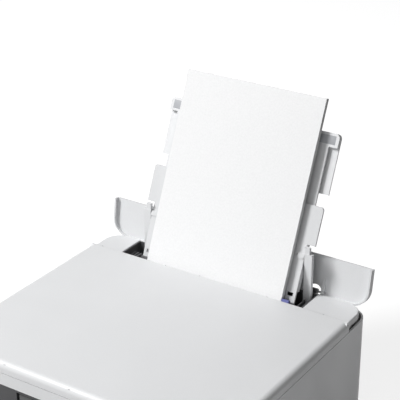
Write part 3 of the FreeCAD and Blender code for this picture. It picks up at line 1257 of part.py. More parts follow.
def eject_roller():
    shaft = rod("eject_axle", "x", "eject_shaft",
                ("gear_out - gear_width", "frame_x + frame_plate + axle_end"), ("eject_y", "axle_z"))
    tyres = [rod("eject_tyre_ring", "x", "roller_radius",
                 about(f"paper_x + {i} * tyre_pitch", "eject_tyre / 2"),
                 ("eject_y", "axle_z")) for i in (-2.5, -1.5, -0.5, 0.5, 1.5, 2.5)]
    return join("eject_roller", shaft, *tyres)


def pinch_rollers():
    shaft = rod("pinch_axle", "x", "pinch_shaft", spread("frame_x + frame_plate"), ("roller_y", "pinch_z"))
    wheels = [rod("pinch_wheel", "x", "pinch_radius",
                  about(f"paper_x + {i} * tyre_pitch", "pinch_width / 2"),
                  ("roller_y", "pinch_z")) for i in (-2.5, -1.5, -0.5, 0.5, 1.5, 2.5)]
    return join("pinch_rollers", shaft, *wheels)


def spur_wheels():
    shaft = rod("spur_axle", "x", "pinch_shaft", spread("frame_x + frame_plate"), ("eject_y", "spur_z"))
    wheels = [rod("spur_wheel", "x", "spur_radius", about(f"paper_x + {i} * tyre_pitch", "spur_width / 2"),
                  ("eject_y", "spur_z")) for i in (-2.5, -1.5, -0.5, 0.5, 1.5, 2.5)]
    return join("spur_wheels", shaft, *wheels)


def holder(name, y, z, away):
    """Beam across the frames with arms that carry a row of small rollers."""
    near = f"{y} + {away} * (pinch_radius + beam_gap)"
    far = f"{near} + {away} * beam_depth"
    deep = (near, far) if away > 0 else (far, near)
    beam = block(f"{name}_beam", spread("frame_x"), deep, (f"{z} - beam_below", f"{z} + beam_above"))
    reach = (f"{y} - arm_reach", f"{near} + over") if away > 0 else (f"{near} - over", f"{y} + arm_reach")
    arms = [block(f"{name}_arm", about(f"paper_x + {i} * tyre_pitch", "arm_width / 2"), reach,
                  (f"{z} - beam_below", f"{z} + arm_reach")) for i in (-3, -2, -1, 0, 1, 2, 3)]
    bore = rod(f"{name}_bore", "x", "pinch_shaft + run_gap", spread("frame_x + over"), (y, z))
    return cut(name, join(f"{name}_solid", beam, *arms), bore)


def gear(name, teeth, spot, phase, bore):
    """Spur gear whose teeth come from module and count, facing along X."""
    module = number("gear_module")
    count = int(number(teeth))
    pitch = module * count / 2
    step = 2 * math.pi / count
    levels = [(pitch - 1.2 * module, 0.31), (pitch, 0.19), (pitch + 0.75 * module, 0.09)]
    points = []
    for tooth in range(count):
        middle = phase + tooth * step
        flank = [(radius, middle - share * step) for radius, share in levels]
        flank += [(radius, middle + share * step) for radius, share in reversed(levels)]
        points += [FreeCAD.Vector(0, radius * math.cos(angle), radius * math.sin(angle)) for radius,
                   angle in flank]
    face = Part.Face(Part.makePolygon(points + points[:1]))
    solid = face.extrude(FreeCAD.Vector(number("gear_width"), 0, 0))
    hole = Part.makeCylinder(number(bore), number("gear_width"), FreeCAD.Vector(), FreeCAD.Vector(1, 0, 0))
    wheel = doc.addObject("Part::Feature", name)
    wheel.Shape = solid.cut(hole)
    place(wheel, "gear_out - gear_width", *spot)
    return wheel


def main_gear():
    return gear("main_gear", "gear_teeth", ("roller_y", "axle_z"), 0, "roller_radius")


def eject_gear():
    return gear("eject_gear", "gear_teeth", ("eject_y", "axle_z"), 0, "eject_shaft")


def transfer_gear():
    return gear("transfer_gear", "transfer_teeth", ("transfer_y", "axle_z"),
                math.pi / number("transfer_teeth"), "stub_radius + run_gap")


def motor_pinion():
    teeth = number("pinion_teeth")
    wheel = gear("pinion_wheel", "pinion_teeth", ("roller_y", "pinion_z"), math.pi / 2 + math.pi / teeth,
                 "stub_radius")
    axle = rod("pinion_axle", "x", "stub_radius", ("gear_out - gear_width", "-frame_x"),
               ("roller_y", "pinion_z"))
    return join("motor_pinion", wheel, axle)


# Cap station: housing on the pan with a sled that lifts a rubber seal to the print head
def cap_station():
    ys = ("roller_y - carriage_front + cap_front", "roller_y - carriage_back - cap_back")
    outer = block("station_box", ("cap_left - part_gap - wall", "cap_right + part_gap + wall"),
                  (f"{ys[0]} - part_gap - wall", f"{ys[1]} + part_gap + wall"),
                  ("floor_z", "station_top"))
    room = block("station_room", ("cap_left - part_gap", "cap_right + part_gap"),
                 (f"{ys[0]} - part_gap", f"{ys[1]} + part_gap"),
                 ("floor_z + wall", "station_top + over"))
    return cut("cap_station", outer, room)


def cap_sled():
    ys = ("roller_y - carriage_front + cap_front", "roller_y - carriage_back - cap_back")
    return block("cap_sled", ("cap_left", "cap_right"), ys, ("cap_low", "cap_top - cap_seal_height"))


def cap_seal():
    ys = ("roller_y - carriage_front + cap_front + seal_inset",
          "roller_y - carriage_back - cap_back - seal_inset")
    zs = ("cap_top - cap_seal_height", "cap_top")
    outer = block("seal_outer", ("cap_left + seal_side", "cap_right - seal_side"), ys, zs)
    inner = block("seal_inner",
                  ("cap_left + seal_side + cap_seal_wall", "cap_right - seal_side - cap_seal_wall"),
                  (f"{ys[0]} + cap_seal_wall", f"{ys[1]} - cap_seal_wall"),
                  (f"{zs[0]} + seal_floor", f"{zs[1]} + over"))
    return cut("cap_seal", outer, inner)


def waste_pad():
    return block("waste_pad", ("cap_left", "cap_right"),
                 ("roller_y - carriage_front + cap_front", "roller_y - carriage_back - cap_back"),
                 ("floor_z + wall", "floor_z + wall + pad_height"))


# Electrics: power supply with its inlet, main board with its port
def power_supply():
    return block("power_supply", about("supply_x", "supply_width / 2"),
                 ("back_y - inlet_depth - supply_depth", "back_y - inlet_depth"),
                 ("floor_z", "floor_z + supply_height"))


def power_inlet():
    ys = ("back_y - inlet_depth", "back_y - port_set")
    shell = block("inlet_shell", about("inlet_x", "inlet_width / 2"), ys,
                  ("inlet_low", "inlet_low + inlet_height"))
    stem = block("inlet_stem", about("inlet_x", "inlet_width / 2"),
                 ("back_y - inlet_depth - inlet_stem_depth", "back_y - inlet_depth"),
                 ("floor_z + supply_height", "inlet_low + inlet_height"))
    room = block("inlet_room", about("inlet_x", "(inlet_width / 2 - inlet_wall)"),
                 ("back_y - port_room", "back_y"),
                 ("inlet_low + inlet_wall", "inlet_low + inlet_height - inlet_wall"))
    pins = [rod("inlet_prong", "y", "prong_radius", ("back_y - port_room - over", "back_y - inlet_wall"),
                (f"inlet_x + {side} * prong_x", "inlet_low + inlet_height / 2")) for side in (-1, 1)]
    return join("power_inlet", cut("inlet_socket", join("inlet_solid", shell, stem), room), *pins)


def main_board():
    xs = about("board_x", "board_width / 2")
    ys = ("back_y - board_back - board_depth", "back_y - board_back")
    low = "floor_z + board_rise"
    plate = block("board_sheet", xs, ys, (low, f"{low} + board_plate"))
    posts = [rod("board_post", "z", "board_post", ("floor_z", f"{low} + board_lap"), (x, y))
             for x in (f"{xs[0]} + board_post_inset", f"{xs[1]} - board_post_inset")
             for y in (f"{ys[0]} + board_post_inset", f"{ys[1]} - board_post_inset")]
    chips = [block("board_chip",
                   (f"board_x - chip_start + {i} * chip_pitch",
                    f"board_x - chip_start + {i} * chip_pitch + chip_size"),
                   (f"{ys[0]} + chip_back", f"{ys[0]} + chip_back + chip_size"),
                   (f"{low} + board_plate - chip_sunk", f"{low} + board_plate + chip_height"))
             for i in (0, 1, 2)]
    return join("main_board", plate, *posts, *chips)


def usb_port():
    zs = ("usb_low", "usb_low + usb_height")
    shell = block("usb_shell", about("usb_x", "usb_width / 2"), ("back_y - usb_depth", "back_y - port_set"),
                  zs)
    room = block("usb_room", about("usb_x", "(usb_width / 2 - usb_wall)"), ("back_y - port_room", "back_y"),
                 (f"{zs[0]} + usb_wall", f"{zs[1]} - usb_wall"))
    return cut("usb_port", shell, room)


# Every sub-part by the name of its file
NODES = {
    "base_pan": base_pan, "rubber_feet": rubber_feet, "main_casing": main_casing,
         "front_fascia": front_fascia,
    "control_panel": control_panel, "screen": screen,
    "power_button": lambda: button("power_button", "button_power_x"),
    "stop_button": lambda: button("stop_button", "button_stop_x"),
    "start_button": lambda: button("start_button", "button_start_x"),
    "output_tray": output_tray, "tray_extension": tray_extension, "top_deck": top_deck,
         "hinge_pins": hinge_pins,
    "top_cover": top_cover, "rear_bezel": rear_bezel, "feed_well": feed_well,
    "support_posts": support_posts, "paper_support": paper_support,
    "support_extension": support_extension, "paper_stack": paper_stack,
    "paper_guide_left": lambda: paper_guide("paper_guide_left", -1),
    "paper_guide_right": lambda: paper_guide("paper_guide_right", 1),
    "feed_cover": feed_cover, "pickup_roller": pickup_roller,
    "feed_chute": feed_chute, "side_frames": side_frames, "rear_frame": rear_frame,
    "guide_shaft": guide_shaft, "encoder_strip": encoder_strip, "drive_belt": drive_belt,
    "motor_pulley": lambda: pulley("motor_pulley", -1), "idler_pulley": lambda: pulley("idler_pulley", 1),
    "carriage_motor": carriage_motor, "feed_motor": feed_motor, "carriage": carriage,
         "print_head": print_head,
    "ink_black": lambda: ink_cartridge("ink_black", -1.5),
         "ink_cyan": lambda: ink_cartridge("ink_cyan", -0.5),
    "ink_magenta": lambda: ink_cartridge("ink_magenta", 0.5),
         "ink_yellow": lambda: ink_cartridge("ink_yellow", 1.5),
    "platen": platen, "main_roller": main_roller, "main_gear": main_gear, "eject_roller": eject_roller,
    "eject_gear": eject_gear, "transfer_gear": transfer_gear, "motor_pinion": motor_pinion,
    "pinch_rollers": pinch_rollers, "spur_wheels": spur_wheels,
    "pinch_holder": lambda: holder("pinch_holder", "roller_y", "pinch_z", 1),
    "spur_holder": lambda: holder("spur_holder", "eject_y", "spur_z", -1),
    "cap_station": cap_station, "cap_sled": cap_sled, "cap_seal": cap_seal, "waste_pad": waste_pad,
    "power_supply": power_supply, "power_inlet": power_inlet, "main_board": main_board,
         "usb_port": usb_port,
}

os.makedirs("parts", exist_ok=True)
built = {}
for node, make in NODES.items():
    built[node] = make()
    built[node].Label = node
doc.recompute()

for item in doc.Objects:
    if "Invalid" in item.State or "Error" in item.State:
        raise RuntimeError(f"{item.Name} did not build: {item.State}")

for node, item in built.items():
    if item.Shape.isNull() or not item.Shape.isValid() or not item.Shape.Solids:
        raise RuntimeError(f"{node} is not a sound solid")
    item.Shape.exportStep(f"parts/{node}.step")
    print(node, len(item.Shape.Solids), round(item.Shape.Volume))
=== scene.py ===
import math

import bmesh
import bpy
import numpy as np
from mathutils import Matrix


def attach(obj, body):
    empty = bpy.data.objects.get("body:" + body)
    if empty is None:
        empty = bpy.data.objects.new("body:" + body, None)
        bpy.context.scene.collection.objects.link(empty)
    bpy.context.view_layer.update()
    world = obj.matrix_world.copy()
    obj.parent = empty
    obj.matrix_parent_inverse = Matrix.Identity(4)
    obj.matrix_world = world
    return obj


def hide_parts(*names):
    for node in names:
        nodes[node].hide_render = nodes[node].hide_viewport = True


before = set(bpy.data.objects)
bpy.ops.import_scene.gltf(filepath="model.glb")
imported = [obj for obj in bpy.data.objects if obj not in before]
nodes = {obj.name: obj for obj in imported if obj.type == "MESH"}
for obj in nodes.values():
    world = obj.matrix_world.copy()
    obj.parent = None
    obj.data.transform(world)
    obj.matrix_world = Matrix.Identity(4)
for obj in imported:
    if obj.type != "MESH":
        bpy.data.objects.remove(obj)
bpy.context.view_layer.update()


# The printer stands on a plain white table that runs on behind it. One soft lamp
# hangs high at the left front, a wide weak one stands in front, and a weak even
# sky fills the rest.
scene = bpy.context.scene
scene.view_settings.view_transform = "Standard"

TABLE_REACH = 9.0
TABLE_GREY = 0.42
TABLE_GLOW = 0.80
LAMP_AIM = (0.0, 0.02, 0.16)
LEFT_PLACE = (-1.72, -1.56, 2.62)
LEFT_SIZE = 0.95
LEFT_POWER = 116.0
FRONT_PLACE = (0.25, -3.1, 1.5)
FRONT_SIZE = 2.4
FRONT_POWER = 15.0
SKY_FILL = 0.14


def table_top(reach, count=25):
    """Flat square grid at z = 0: x and y run evenly from -reach to reach."""
    run = np.linspace(-reach, reach, count)
    x, y = np.meshgrid(run, run, indexing="ij")
    points = np.stack([x, y, np.zeros_like(x)], -1).reshape(-1, 3)
    corner = np.arange(count * count).reshape(count, count)
    quads = np.stack([corner[:-1, :-1], corner[1:, :-1], corner[1:, 1:], corner[:-1, 1:]], -1)
    mesh = bpy.data.meshes.new("table")
    mesh.from_pydata(points.tolist(), [], quads.reshape(-1, 4).tolist())
    return mesh


def eye_rays(tree):
    """1 for rays seen by the camera, directly, mirrored or through glass, and 0 for the others."""
    path = tree.nodes.new("ShaderNodeLightPath")
    seen = path.outputs["Is Camera Ray"]
    for kind in ("Is Glossy Ray", "Is Transmission Ray"):
        either = tree.nodes.new("ShaderNodeMath")
        either.operation = "MAXIMUM"
        tree.links.new(seen, either.inputs[0])
        tree.links.new(path.outputs[kind], either.inputs[1])
        seen = either.outputs[0]
    return seen


def table_paint():
    """Matt grey that also glows to the camera, so that it reads as white and keeps the shadow."""
    look = bpy.data.materials.new("table_white")
    look.use_nodes = True
    tree = look.node_tree
    tree.nodes.clear()
    matt = tree.nodes.new("ShaderNodeBsdfDiffuse")
    matt.inputs["Color"].default_value = (TABLE_GREY, TABLE_GREY, TABLE_GREY, 1)
    glow = tree.nodes.new("ShaderNodeEmission")
    glow.inputs["Color"].default_value = (1, 1, 1, 1)
    level = tree.nodes.new("ShaderNodeMath")
    level.operation = "MULTIPLY"
    level.inputs[1].default_value = TABLE_GLOW
    both = tree.nodes.new("ShaderNodeAddShader")
    out = tree.nodes.new("ShaderNodeOutputMaterial")
    link = tree.links.new
    link(eye_rays(tree), level.inputs[0])
    link(level.outputs[0], glow.inputs["Strength"])
    link(matt.outputs[0], both.inputs[0])
    link(glow.outputs[0], both.inputs[1])
    link(both.outputs[0], out.inputs["Surface"])
    return look


table = bpy.data.objects.new("table", table_top(TABLE_REACH))
table.data.materials.append(table_paint())
scene.collection.objects.link(table)


def sky_light(fill):
    """White to the eye and in reflections, a weaker grey where it lights matt surfaces."""
    world = bpy.data.worlds.new("studio_sky")
    scene.world = world
    world.use_nodes = True
    tree = world.node_tree
    shade = tree.nodes["Background"]
    shade.inputs["Color"].default_value = (1, 1, 1, 1)
    level = tree.nodes.new("ShaderNodeMapRange")
    level.inputs["To Min"].default_value = fill
    level.inputs["To Max"].default_value = 1.0
    tree.links.new(eye_rays(tree), level.inputs["Value"])
    tree.links.new(level.outputs["Result"], shade.inputs["Strength"])


sky_light(SKY_FILL)


def softbox(name, spot, size, power):
    """Square lamp at a spot, turned so that it faces the printer."""
    lamp = bpy.data.lights.new(name, "AREA")
    lamp.shape = "SQUARE"
    lamp.size = size
    lamp.energy = power
    box = bpy.data.objects.new(name, lamp)
    box.location = spot
    aim = np.subtract(LAMP_AIM, spot)
    tip = math.atan2(math.hypot(aim[0], aim[1]), -aim[2])
    box.rotation_euler = (tip, 0, math.atan2(aim[1], aim[0]) - math.pi / 2)
    scene.collection.objects.link(box)


softbox("left_softbox", LEFT_PLACE, LEFT_SIZE, LEFT_POWER)
softbox("front_softbox", FRONT_PLACE, FRONT_SIZE, FRONT_POWER)

# The photographer stood at the right front and looked down on the paper feed
# with a long lens, level with no roll.
CAMERA_PLACE = (0.796077, -1.156190, 0.981468)
CAMERA_TURN = (math.radians(90 - 24.907), 0, math.radians(33.110))
CAMERA_LENS = 115.06
CAMERA_SENSOR = 36
CAMERA_REACH = 40

view = bpy.data.cameras.new("photo_view")
view.sensor_width = CAMERA_SENSOR
view.lens = CAMERA_LENS
view.clip_end = CAMERA_REACH
camera = bpy.data.objects.new("photo_view", view)
camera.location = CAMERA_PLACE
camera.rotation_euler = CAMERA_TURN
scene.collection.objects.link(camera)
scene.camera = camera


# The base pan is one grey moulding with ribs along its floor. It carries the
# whole mechanism and stands on four pressed-in rubber feet.
PAN_GREY = (0.165, 0.167, 0.172)
FOOT_BLACK = (0.022, 0.022, 0.022)


def finish_start(name):
    """New finish: the material, its node tree, its shader and the piece's own coordinates."""
    look = bpy.data.materials.new(name)
    look.use_nodes = True
    tree = look.node_tree
    where = tree.nodes.new("ShaderNodeTexCoord").outputs["Object"]
    return look, tree, tree.nodes["Principled BSDF"], where


def cloud(tree, where, size, detail=2.0, stretch=(1, 1, 1)):
    """Soft noise whose patches are about that size in metres, longer along an axis by its stretch."""
    space = tree.nodes.new("ShaderNodeMapping")
    space.inputs["Scale"].default_value = tuple(1 / (size * s) for s in stretch)
    noise = tree.nodes.new("ShaderNodeTexNoise")
    noise.inputs["Scale"].default_value = 1.0
    noise.inputs["Detail"].default_value = detail
    tree.links.new(where, space.inputs["Vector"])
    tree.links.new(space.outputs["Vector"], noise.inputs["Vector"])
    return noise.outputs["Fac"]


def between(tree, value, low, high, start=0.3, end=0.7):
    """A value from start to end becomes a number from low to high."""
    span = tree.nodes.new("ShaderNodeMapRange")
    span.inputs["From Min"].default_value = start
    span.inputs["From Max"].default_value = end
    span.inputs["To Min"].default_value = low
    span.inputs["To Max"].default_value = high
    tree.links.new(value, span.inputs["Value"])
    return span.outputs["Result"]


def tint(tree, value, first, second, start=0.3, end=0.7):
    """A value from start to end becomes a colour from the first to the second."""
    ramp = tree.nodes.new("ShaderNodeValToRGB")
    ramp.color_ramp.elements[0].position = start
    ramp.color_ramp.elements[1].position = end
    ramp.color_ramp.elements[0].color = (*first, 1)
    ramp.color_ramp.elements[1].color = (*second, 1)
    tree.links.new(value, ramp.inputs["Fac"])
    return ramp.outputs["Color"]


def layered(tree, under, over, share):
    """The second colour multiplied over the first, by a share."""
    mix = tree.nodes.new("ShaderNodeMix")
    mix.data_type = "RGBA"
    mix.blend_type = "MULTIPLY"
    mix.inputs["Factor"].default_value = share
    tree.links.new(under, mix.inputs["A"])
    tree.links.new(over, mix.inputs["B"])
    return mix.outputs["Result"]


def dented(tree, shader, height, depth):
    """Surface relief from a height between 0 and 1, that many metres deep."""
    bump = tree.nodes.new("ShaderNodeBump")
    bump.inputs["Strength"].default_value = 1.0
    bump.inputs["Distance"].default_value = depth
    tree.links.new(height, bump.inputs["Height"])
    tree.links.new(bump.outputs["Normal"], shader.inputs["Normal"])


def shaded(colour, share):
    """The same colour, lighter or darker by a share."""
    return tuple(min(1.0, c * share) for c in colour)


def moulded(name, colour, shine, pit=0.0009, depth=0.00003, drift=0.03, dust=0.04):
    """Spark-textured plastic: fine pits, a colour that drifts across the moulding, dull handled patches."""
    look, tree, shader, where = finish_start(name)
    broad = tint(tree, cloud(tree, where, 0.11, 3), shaded(colour, 1 - drift), shaded(colour, 1 + drift))
    flecks = tint(tree, cloud(tree, where, 0.0016, 2), (1 - dust,) * 3, (1, 1, 1), 0.25, 0.55)
    tree.links.new(layered(tree, broad, flecks, 1.0), shader.inputs["Base Color"])
    rub = between(tree, cloud(tree, where, 0.045, 4), shine - 0.07, shine + 0.08)
    tree.links.new(rub, shader.inputs["Roughness"])
    dented(tree, shader, cloud(tree, where, pit, 2), depth)
    return look


def dress(look, *names):
    """Give CAD nodes their finish."""
    for name in names:
        nodes[name].data.materials[0] = look


def rubbery(name, colour):
    """Rubber: matt, bloomed grey in patches, with a fine ground grain."""
    look, tree, shader, where = finish_start(name)
    bloom = tint(tree, cloud(tree, where, 0.006, 4), colour, shaded(colour, 2.2), 0.35, 0.8)
    tree.links.new(bloom, shader.inputs["Base Color"])
    tree.links.new(between(tree, cloud(tree, where, 0.003, 2), 0.72, 0.92), shader.inputs["Roughness"])
    dented(tree, shader, cloud(tree, where, 0.0005, 2), 0.00008)
    return look


pan_plastic = moulded("pan_plastic", PAN_GREY, 0.55)
foot_rubber = rubbery("foot_rubber", FOOT_BLACK)
dress(pan_plastic, "base_pan")
dress(foot_rubber, "rubber_feet")


# Cross-head screws hold the casing to the pan from below and from behind.
# Each is a pan head with a punched cross recess, zinc plated.
PAN_SCREWS = ((-0.150, -0.150), (0.150, -0.150), (-0.150, 0.030), (0.150, 0.030), (0, -0.178), (0, 0.116))
BACK_SCREWS = ((-0.172, 0.142), (0.172, 0.142), (-0.060, 0.024), (0.172, 0.024))
PAN_LOW = 0.004
CASING_BACK = 0.155114
SCREW_RADIUS = 0.0031
SCREW_RISE = 0.0016
SCREW_POINTS = 48
HEAD_REACH = (1.0, 0.99, 0.86, 0.66)
HEAD_LEVEL = (-0.25, 0.45, 0.86, 1.0, 1.0, 0.1)
CROSS_REACH = 0.62
CROSS_HALF = 0.15
CROSS_LEAST = 0.05
CROSS_FLOOR = 0.6
SHARP_EDGE = math.radians(32)


def lofted(name, rings):
    """Closed solids from rings[solid, station, point]: quads join the stations, flat faces close the ends."""
    rings = np.asarray(rings, float)
    solids, stations, points = rings.shape[:3]
    corner = np.arange(solids * stations * points).reshape(solids, stations, points)
    near, far = corner[:, :-1], corner[:, 1:]
    sides = np.stack([near, np.roll(near, -1, 2), np.roll(far, -1, 2), far], -1).reshape(-1, 4)
    ends = np.concatenate([corner[:, 0, ::-1], corner[:, -1]])
    mesh = bpy.data.meshes.new(name)
    mesh.from_pydata(rings.reshape(-1, 3).tolist(), [], sides.tolist() + ends.tolist())
    work = bmesh.new()
    work.from_mesh(mesh)
    bmesh.ops.recalc_face_normals(work, faces=work.faces)
    work.to_mesh(mesh)
    work.free()
    mesh.polygons.foreach_set("use_smooth", np.ones(len(mesh.polygons), bool))
    mesh.set_sharp_from_angle(angle=SHARP_EDGE)
    return mesh


def settle(mesh, look, body):
    """Put a finished mesh into the scene as a piece that rides on a body."""
    mesh.materials.append(look)
    piece = bpy.data.objects.new(mesh.name, mesh)
    scene.collection.objects.link(piece)
    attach(piece, body)
    return piece


def screw_heads(name, spots, across, up):
    """Domed heads with a cross recess, in polar form min(R, (w / 2) / min(|cos a|, |sin a|))."""
    a = np.linspace(0, 2 * math.pi, SCREW_POINTS, endpoint=False)
    slant = np.maximum(np.minimum(abs(np.cos(a)), abs(np.sin(a))), CROSS_LEAST)
    cross = np.minimum(CROSS_REACH, CROSS_HALF / slant)
    dome = [np.full(SCREW_POINTS, share) for share in HEAD_REACH]
    reach = np.stack([*dome, cross, cross * CROSS_FLOOR])
    across, up = np.asarray(across, float), np.asarray(up, float)
    beside = np.cross(up, across)
    around = np.cos(a)[None, :, None] * across + np.sin(a)[None, :, None] * beside
    flat = reach[..., None] * SCREW_RADIUS * around
    one = flat + np.array(HEAD_LEVEL)[:, None, None] * SCREW_RISE * up
    return lofted(name, np.asarray(spots, float)[:, None, None, :] + one[None])


def plated(name, colour, shine, brush=(1, 1, 1)):
    """Bright metal: a fine brushed grain along its longest stretch, slightly clouded shine."""
    look, tree, shader, where = finish_start(name)
    grain = cloud(tree, where, 0.0012, 3, brush)
    tree.links.new(tint(tree, grain, shaded(colour, 0.86), shaded(colour, 1.1)), shader.inputs["Base Color"])
    shader.inputs["Metallic"].default_value = 1.0
    tree.links.new(between(tree, grain, shine - 0.08, shine + 0.1), shader.inputs["Roughness"])
    dented(tree, shader, grain, 0.00001)
    return look


screw_zinc = plated("screw_zinc", (0.60, 0.60, 0.59), 0.34)
pan_spots = [(x, y, PAN_LOW) for x, y in PAN_SCREWS]
back_spots = [(x, CASING_BACK, z) for x, z in BACK_SCREWS]
settle(screw_heads("pan_screws", pan_spots, (1, 0, 0), (0, 0, -1)), screw_zinc, "housing")
settle(screw_heads("casing_screws", back_spots, (-1, 0, 0), (0, 1, 0)), screw_zinc, "housing")


# The waste ink pad is a block of layered felt that lies in the pan under the
# print head's park, and it drinks up the ink of each cleaning.
def felted(name, colour):
    """Felt: matted fibres in every direction, with ink-grey blotches."""
    look, tree, shader, where = finish_start(name)
    fibre = cloud(tree, where, 0.0011, 6, (3, 1, 1))
    blots = tint(tree, cloud(tree, where, 0.016, 3), shaded(colour, 0.62), (1, 1, 1), 0.3, 0.62)
    hairs = tint(tree, fibre, shaded(colour, 0.82), shaded(colour, 1.1))
    tree.links.new(layered(tree, hairs, blots, 0.5), shader.inputs["Base Color"])
    shader.inputs["Roughness"].default_value = 0.95
    dented(tree, shader, fibre, 0.0004)
    return look


dress(felted("pad_felt", (0.74, 0.72, 0.66)), "waste_pad")


# The power supply is a sealed black box at the left rear with its two-pin
# inlet in the back wall. The main board lies at the right rear by its port.
BOARD_CELLS = 190


def circuit_lacquer(name, lacquer, copper):
    """Green solder mask, lighter in square-cornered cells where copper lies beneath."""
    look, tree, shader, where = finish_start(name)
    tiles = tree.nodes.new("ShaderNodeTexVoronoi")
    tiles.distance = "MANHATTAN"
    tiles.inputs["Scale"].default_value = BOARD_CELLS
    tree.links.new(where, tiles.inputs["Vector"])
    tracks = tint(tree, tiles.outputs["Distance"], lacquer, copper, 0.42, 0.5)
    tree.links.new(tracks, shader.inputs["Base Color"])
    shader.inputs["Roughness"].default_value = 0.32
    dented(tree, shader, tiles.outputs["Distance"], 0.00004)
    return look


supply_black = moulded("supply_black", (0.02, 0.02, 0.021), 0.5)
dress(supply_black, "power_supply", "power_inlet")
dress(circuit_lacquer("board_lacquer", (0.016, 0.11, 0.045), (0.035, 0.2, 0.075)), "main_board")
port_plate = plated("port_plate", (0.62, 0.62, 0.63), 0.28)
dress(port_plate, "usb_port")


# The side frames and the rear frame are folded from zinc-plated sheet. They
# carry the guide shaft, the rollers and both motors.
ZINC_SPANGLES = 160
ZINC_DULL = (0.50, 0.51, 0.52)
ZINC_BRIGHT = (0.63, 0.64, 0.65)


def sheet_zinc(name):
    """Zinc plate: large faint spangles of different brightness, with rolling marks along the sheet."""
    look, tree, shader, where = finish_start(name)
    spangle = tree.nodes.new("ShaderNodeTexVoronoi")
    spangle.inputs["Scale"].default_value = ZINC_SPANGLES
    tree.links.new(where, spangle.inputs["Vector"])
    flake = spangle.outputs["Distance"]
    tree.links.new(tint(tree, flake, ZINC_DULL, ZINC_BRIGHT, 0.1, 0.8), shader.inputs["Base Color"])
    shader.inputs["Metallic"].default_value = 1.0
    tree.links.new(between(tree, flake, 0.32, 0.5, 0.1, 0.8), shader.inputs["Roughness"])
    dented(tree, shader, cloud(tree, where, 0.0009, 3, (1, 14, 1)), 0.00001)
    return look


frame_zinc = sheet_zinc("frame_zinc")
dress(frame_zinc, "side_frames", "rear_frame")


# The chute and the ribbed platen lead the sheet from the feed to the rollers.
# Both are black mouldings, and the holders above carry the small rollers.
path_black = moulded("path_black", (0.018, 0.018, 0.020), 0.42, 0.0007, 0.00002)
dress(path_black, "feed_chute", "platen", "pinch_holder", "spur_holder", "cap_station")


# The main roller is a ground steel bar with a fine grit on its working length.
# The eject roller and the pinch rollers are soft tyres on thin bars.
def gritted(name, colour):
    """Steel with bonded grit: a dense dark speckle over a turned bar."""
    look, tree, shader, where = finish_start(name)
    grit = cloud(tree, where, 0.0004, 2)
    tree.links.new(tint(tree, grit, shaded(colour, 0.45), colour, 0.4, 0.6), shader.inputs["Base Color"])
    shader.inputs["Metallic"].default_value = 0.9
    tree.links.new(between(tree, grit, 0.62, 0.38), shader.inputs["Roughness"])
    dented(tree, shader, grit, 0.00006)
    return look


shaft_steel = plated("shaft_steel", (0.66, 0.66, 0.66), 0.2, (40, 1, 1))
tyre_rubber = rubbery("tyre_rubber", (0.035, 0.035, 0.036))
dress(gritted("roller_grit", (0.48, 0.48, 0.49)), "main_roller")
dress(tyre_rubber, "eject_roller", "pinch_rollers")
dress(plated("spur_steel", (0.62, 0.62, 0.62), 0.25), "spur_wheels")


# The gears at the left are natural white acetal, driven by a brass-coloured
# pinion on the feed motor. Both motors are steel cans.
def acetal(name, colour):
    """Acetal: waxy, faintly translucent, with a cloudy flow of the melt and a film of grease."""
    look, tree, shader, where = finish_start(name)
    flow = tint(tree, cloud(tree, where, 0.014, 4), shaded(colour, 0.92), colour)
    tree.links.new(flow, shader.inputs["Base Color"])
    shader.inputs["Subsurface Weight"].default_value = 0.15
    shader.inputs["Subsurface Scale"].default_value = 0.002
    tree.links.new(between(tree, cloud(tree, where, 0.004, 3), 0.24, 0.46), shader.inputs["Roughness"])
    dented(tree, shader, cloud(tree, where, 0.001, 2), 0.00001)
    return look


gear_acetal = acetal("gear_acetal", (0.80, 0.79, 0.74))
dress(gear_acetal, "main_gear", "eject_gear", "transfer_gear", "motor_pulley", "idler_pulley")
dress(plated("pinion_brass", (0.72, 0.52, 0.22), 0.26), "motor_pinion")
dress(plated("motor_can", (0.50, 0.50, 0.51), 0.36, (1, 1, 20)), "carriage_motor", "feed_motor")


# The carriage runs on a ground bar. A toothed rubber belt pulls it, and it
# reads its place from a clear film with fine black lines.
FILM_PITCH = 0.0008
BELT_PITCH = 0.002
WAVE_LENGTH = 0.314


def bands(tree, where, pitch):
    """Smooth bands along x of that pitch. At scale 1 the texture's own are WAVE_LENGTH apart."""
    wave = tree.nodes.new("ShaderNodeTexWave")
    wave.bands_direction = "X"
    wave.inputs["Scale"].default_value = WAVE_LENGTH / pitch
    tree.links.new(where, wave.inputs["Vector"])
    return wave.outputs["Fac"]


def line_film(name, pitch):
    """Clear film with printed lines: the bands are sharpened to a square wave."""
    look, tree, shader, where = finish_start(name)
    wave = bands(tree, where, pitch)
    lines = tint(tree, wave, (0.03, 0.03, 0.03), (0.62, 0.63, 0.64), 0.45, 0.55)
    tree.links.new(lines, shader.inputs["Base Color"])
    shader.inputs["Roughness"].default_value = 0.12
    shader.inputs["Transmission Weight"].default_value = 0.35
    return look


def toothed_rubber(name, colour, pitch):
    """Belt rubber: ridges across it at that pitch, with a cloth-dull surface."""
    look, tree, shader, where = finish_start(name)
    wave = bands(tree, where, pitch)
    # Painted shade and painted highlight: the colour runs from half as bright in the grooves to half again as
    # bright on the ridge tops.
    ridges = tint(tree, wave, shaded(colour, 0.5), shaded(colour, 1.5))
    tree.links.new(ridges, shader.inputs["Base Color"])
    shader.inputs["Roughness"].default_value = 0.8
    dented(tree, shader, wave, 0.0004)
    return look


dress(shaft_steel, "guide_shaft")
dress(line_film("strip_film", FILM_PITCH), "encoder_strip")
dress(toothed_rubber("belt_rubber", (0.03, 0.03, 0.032), BELT_PITCH), "drive_belt")


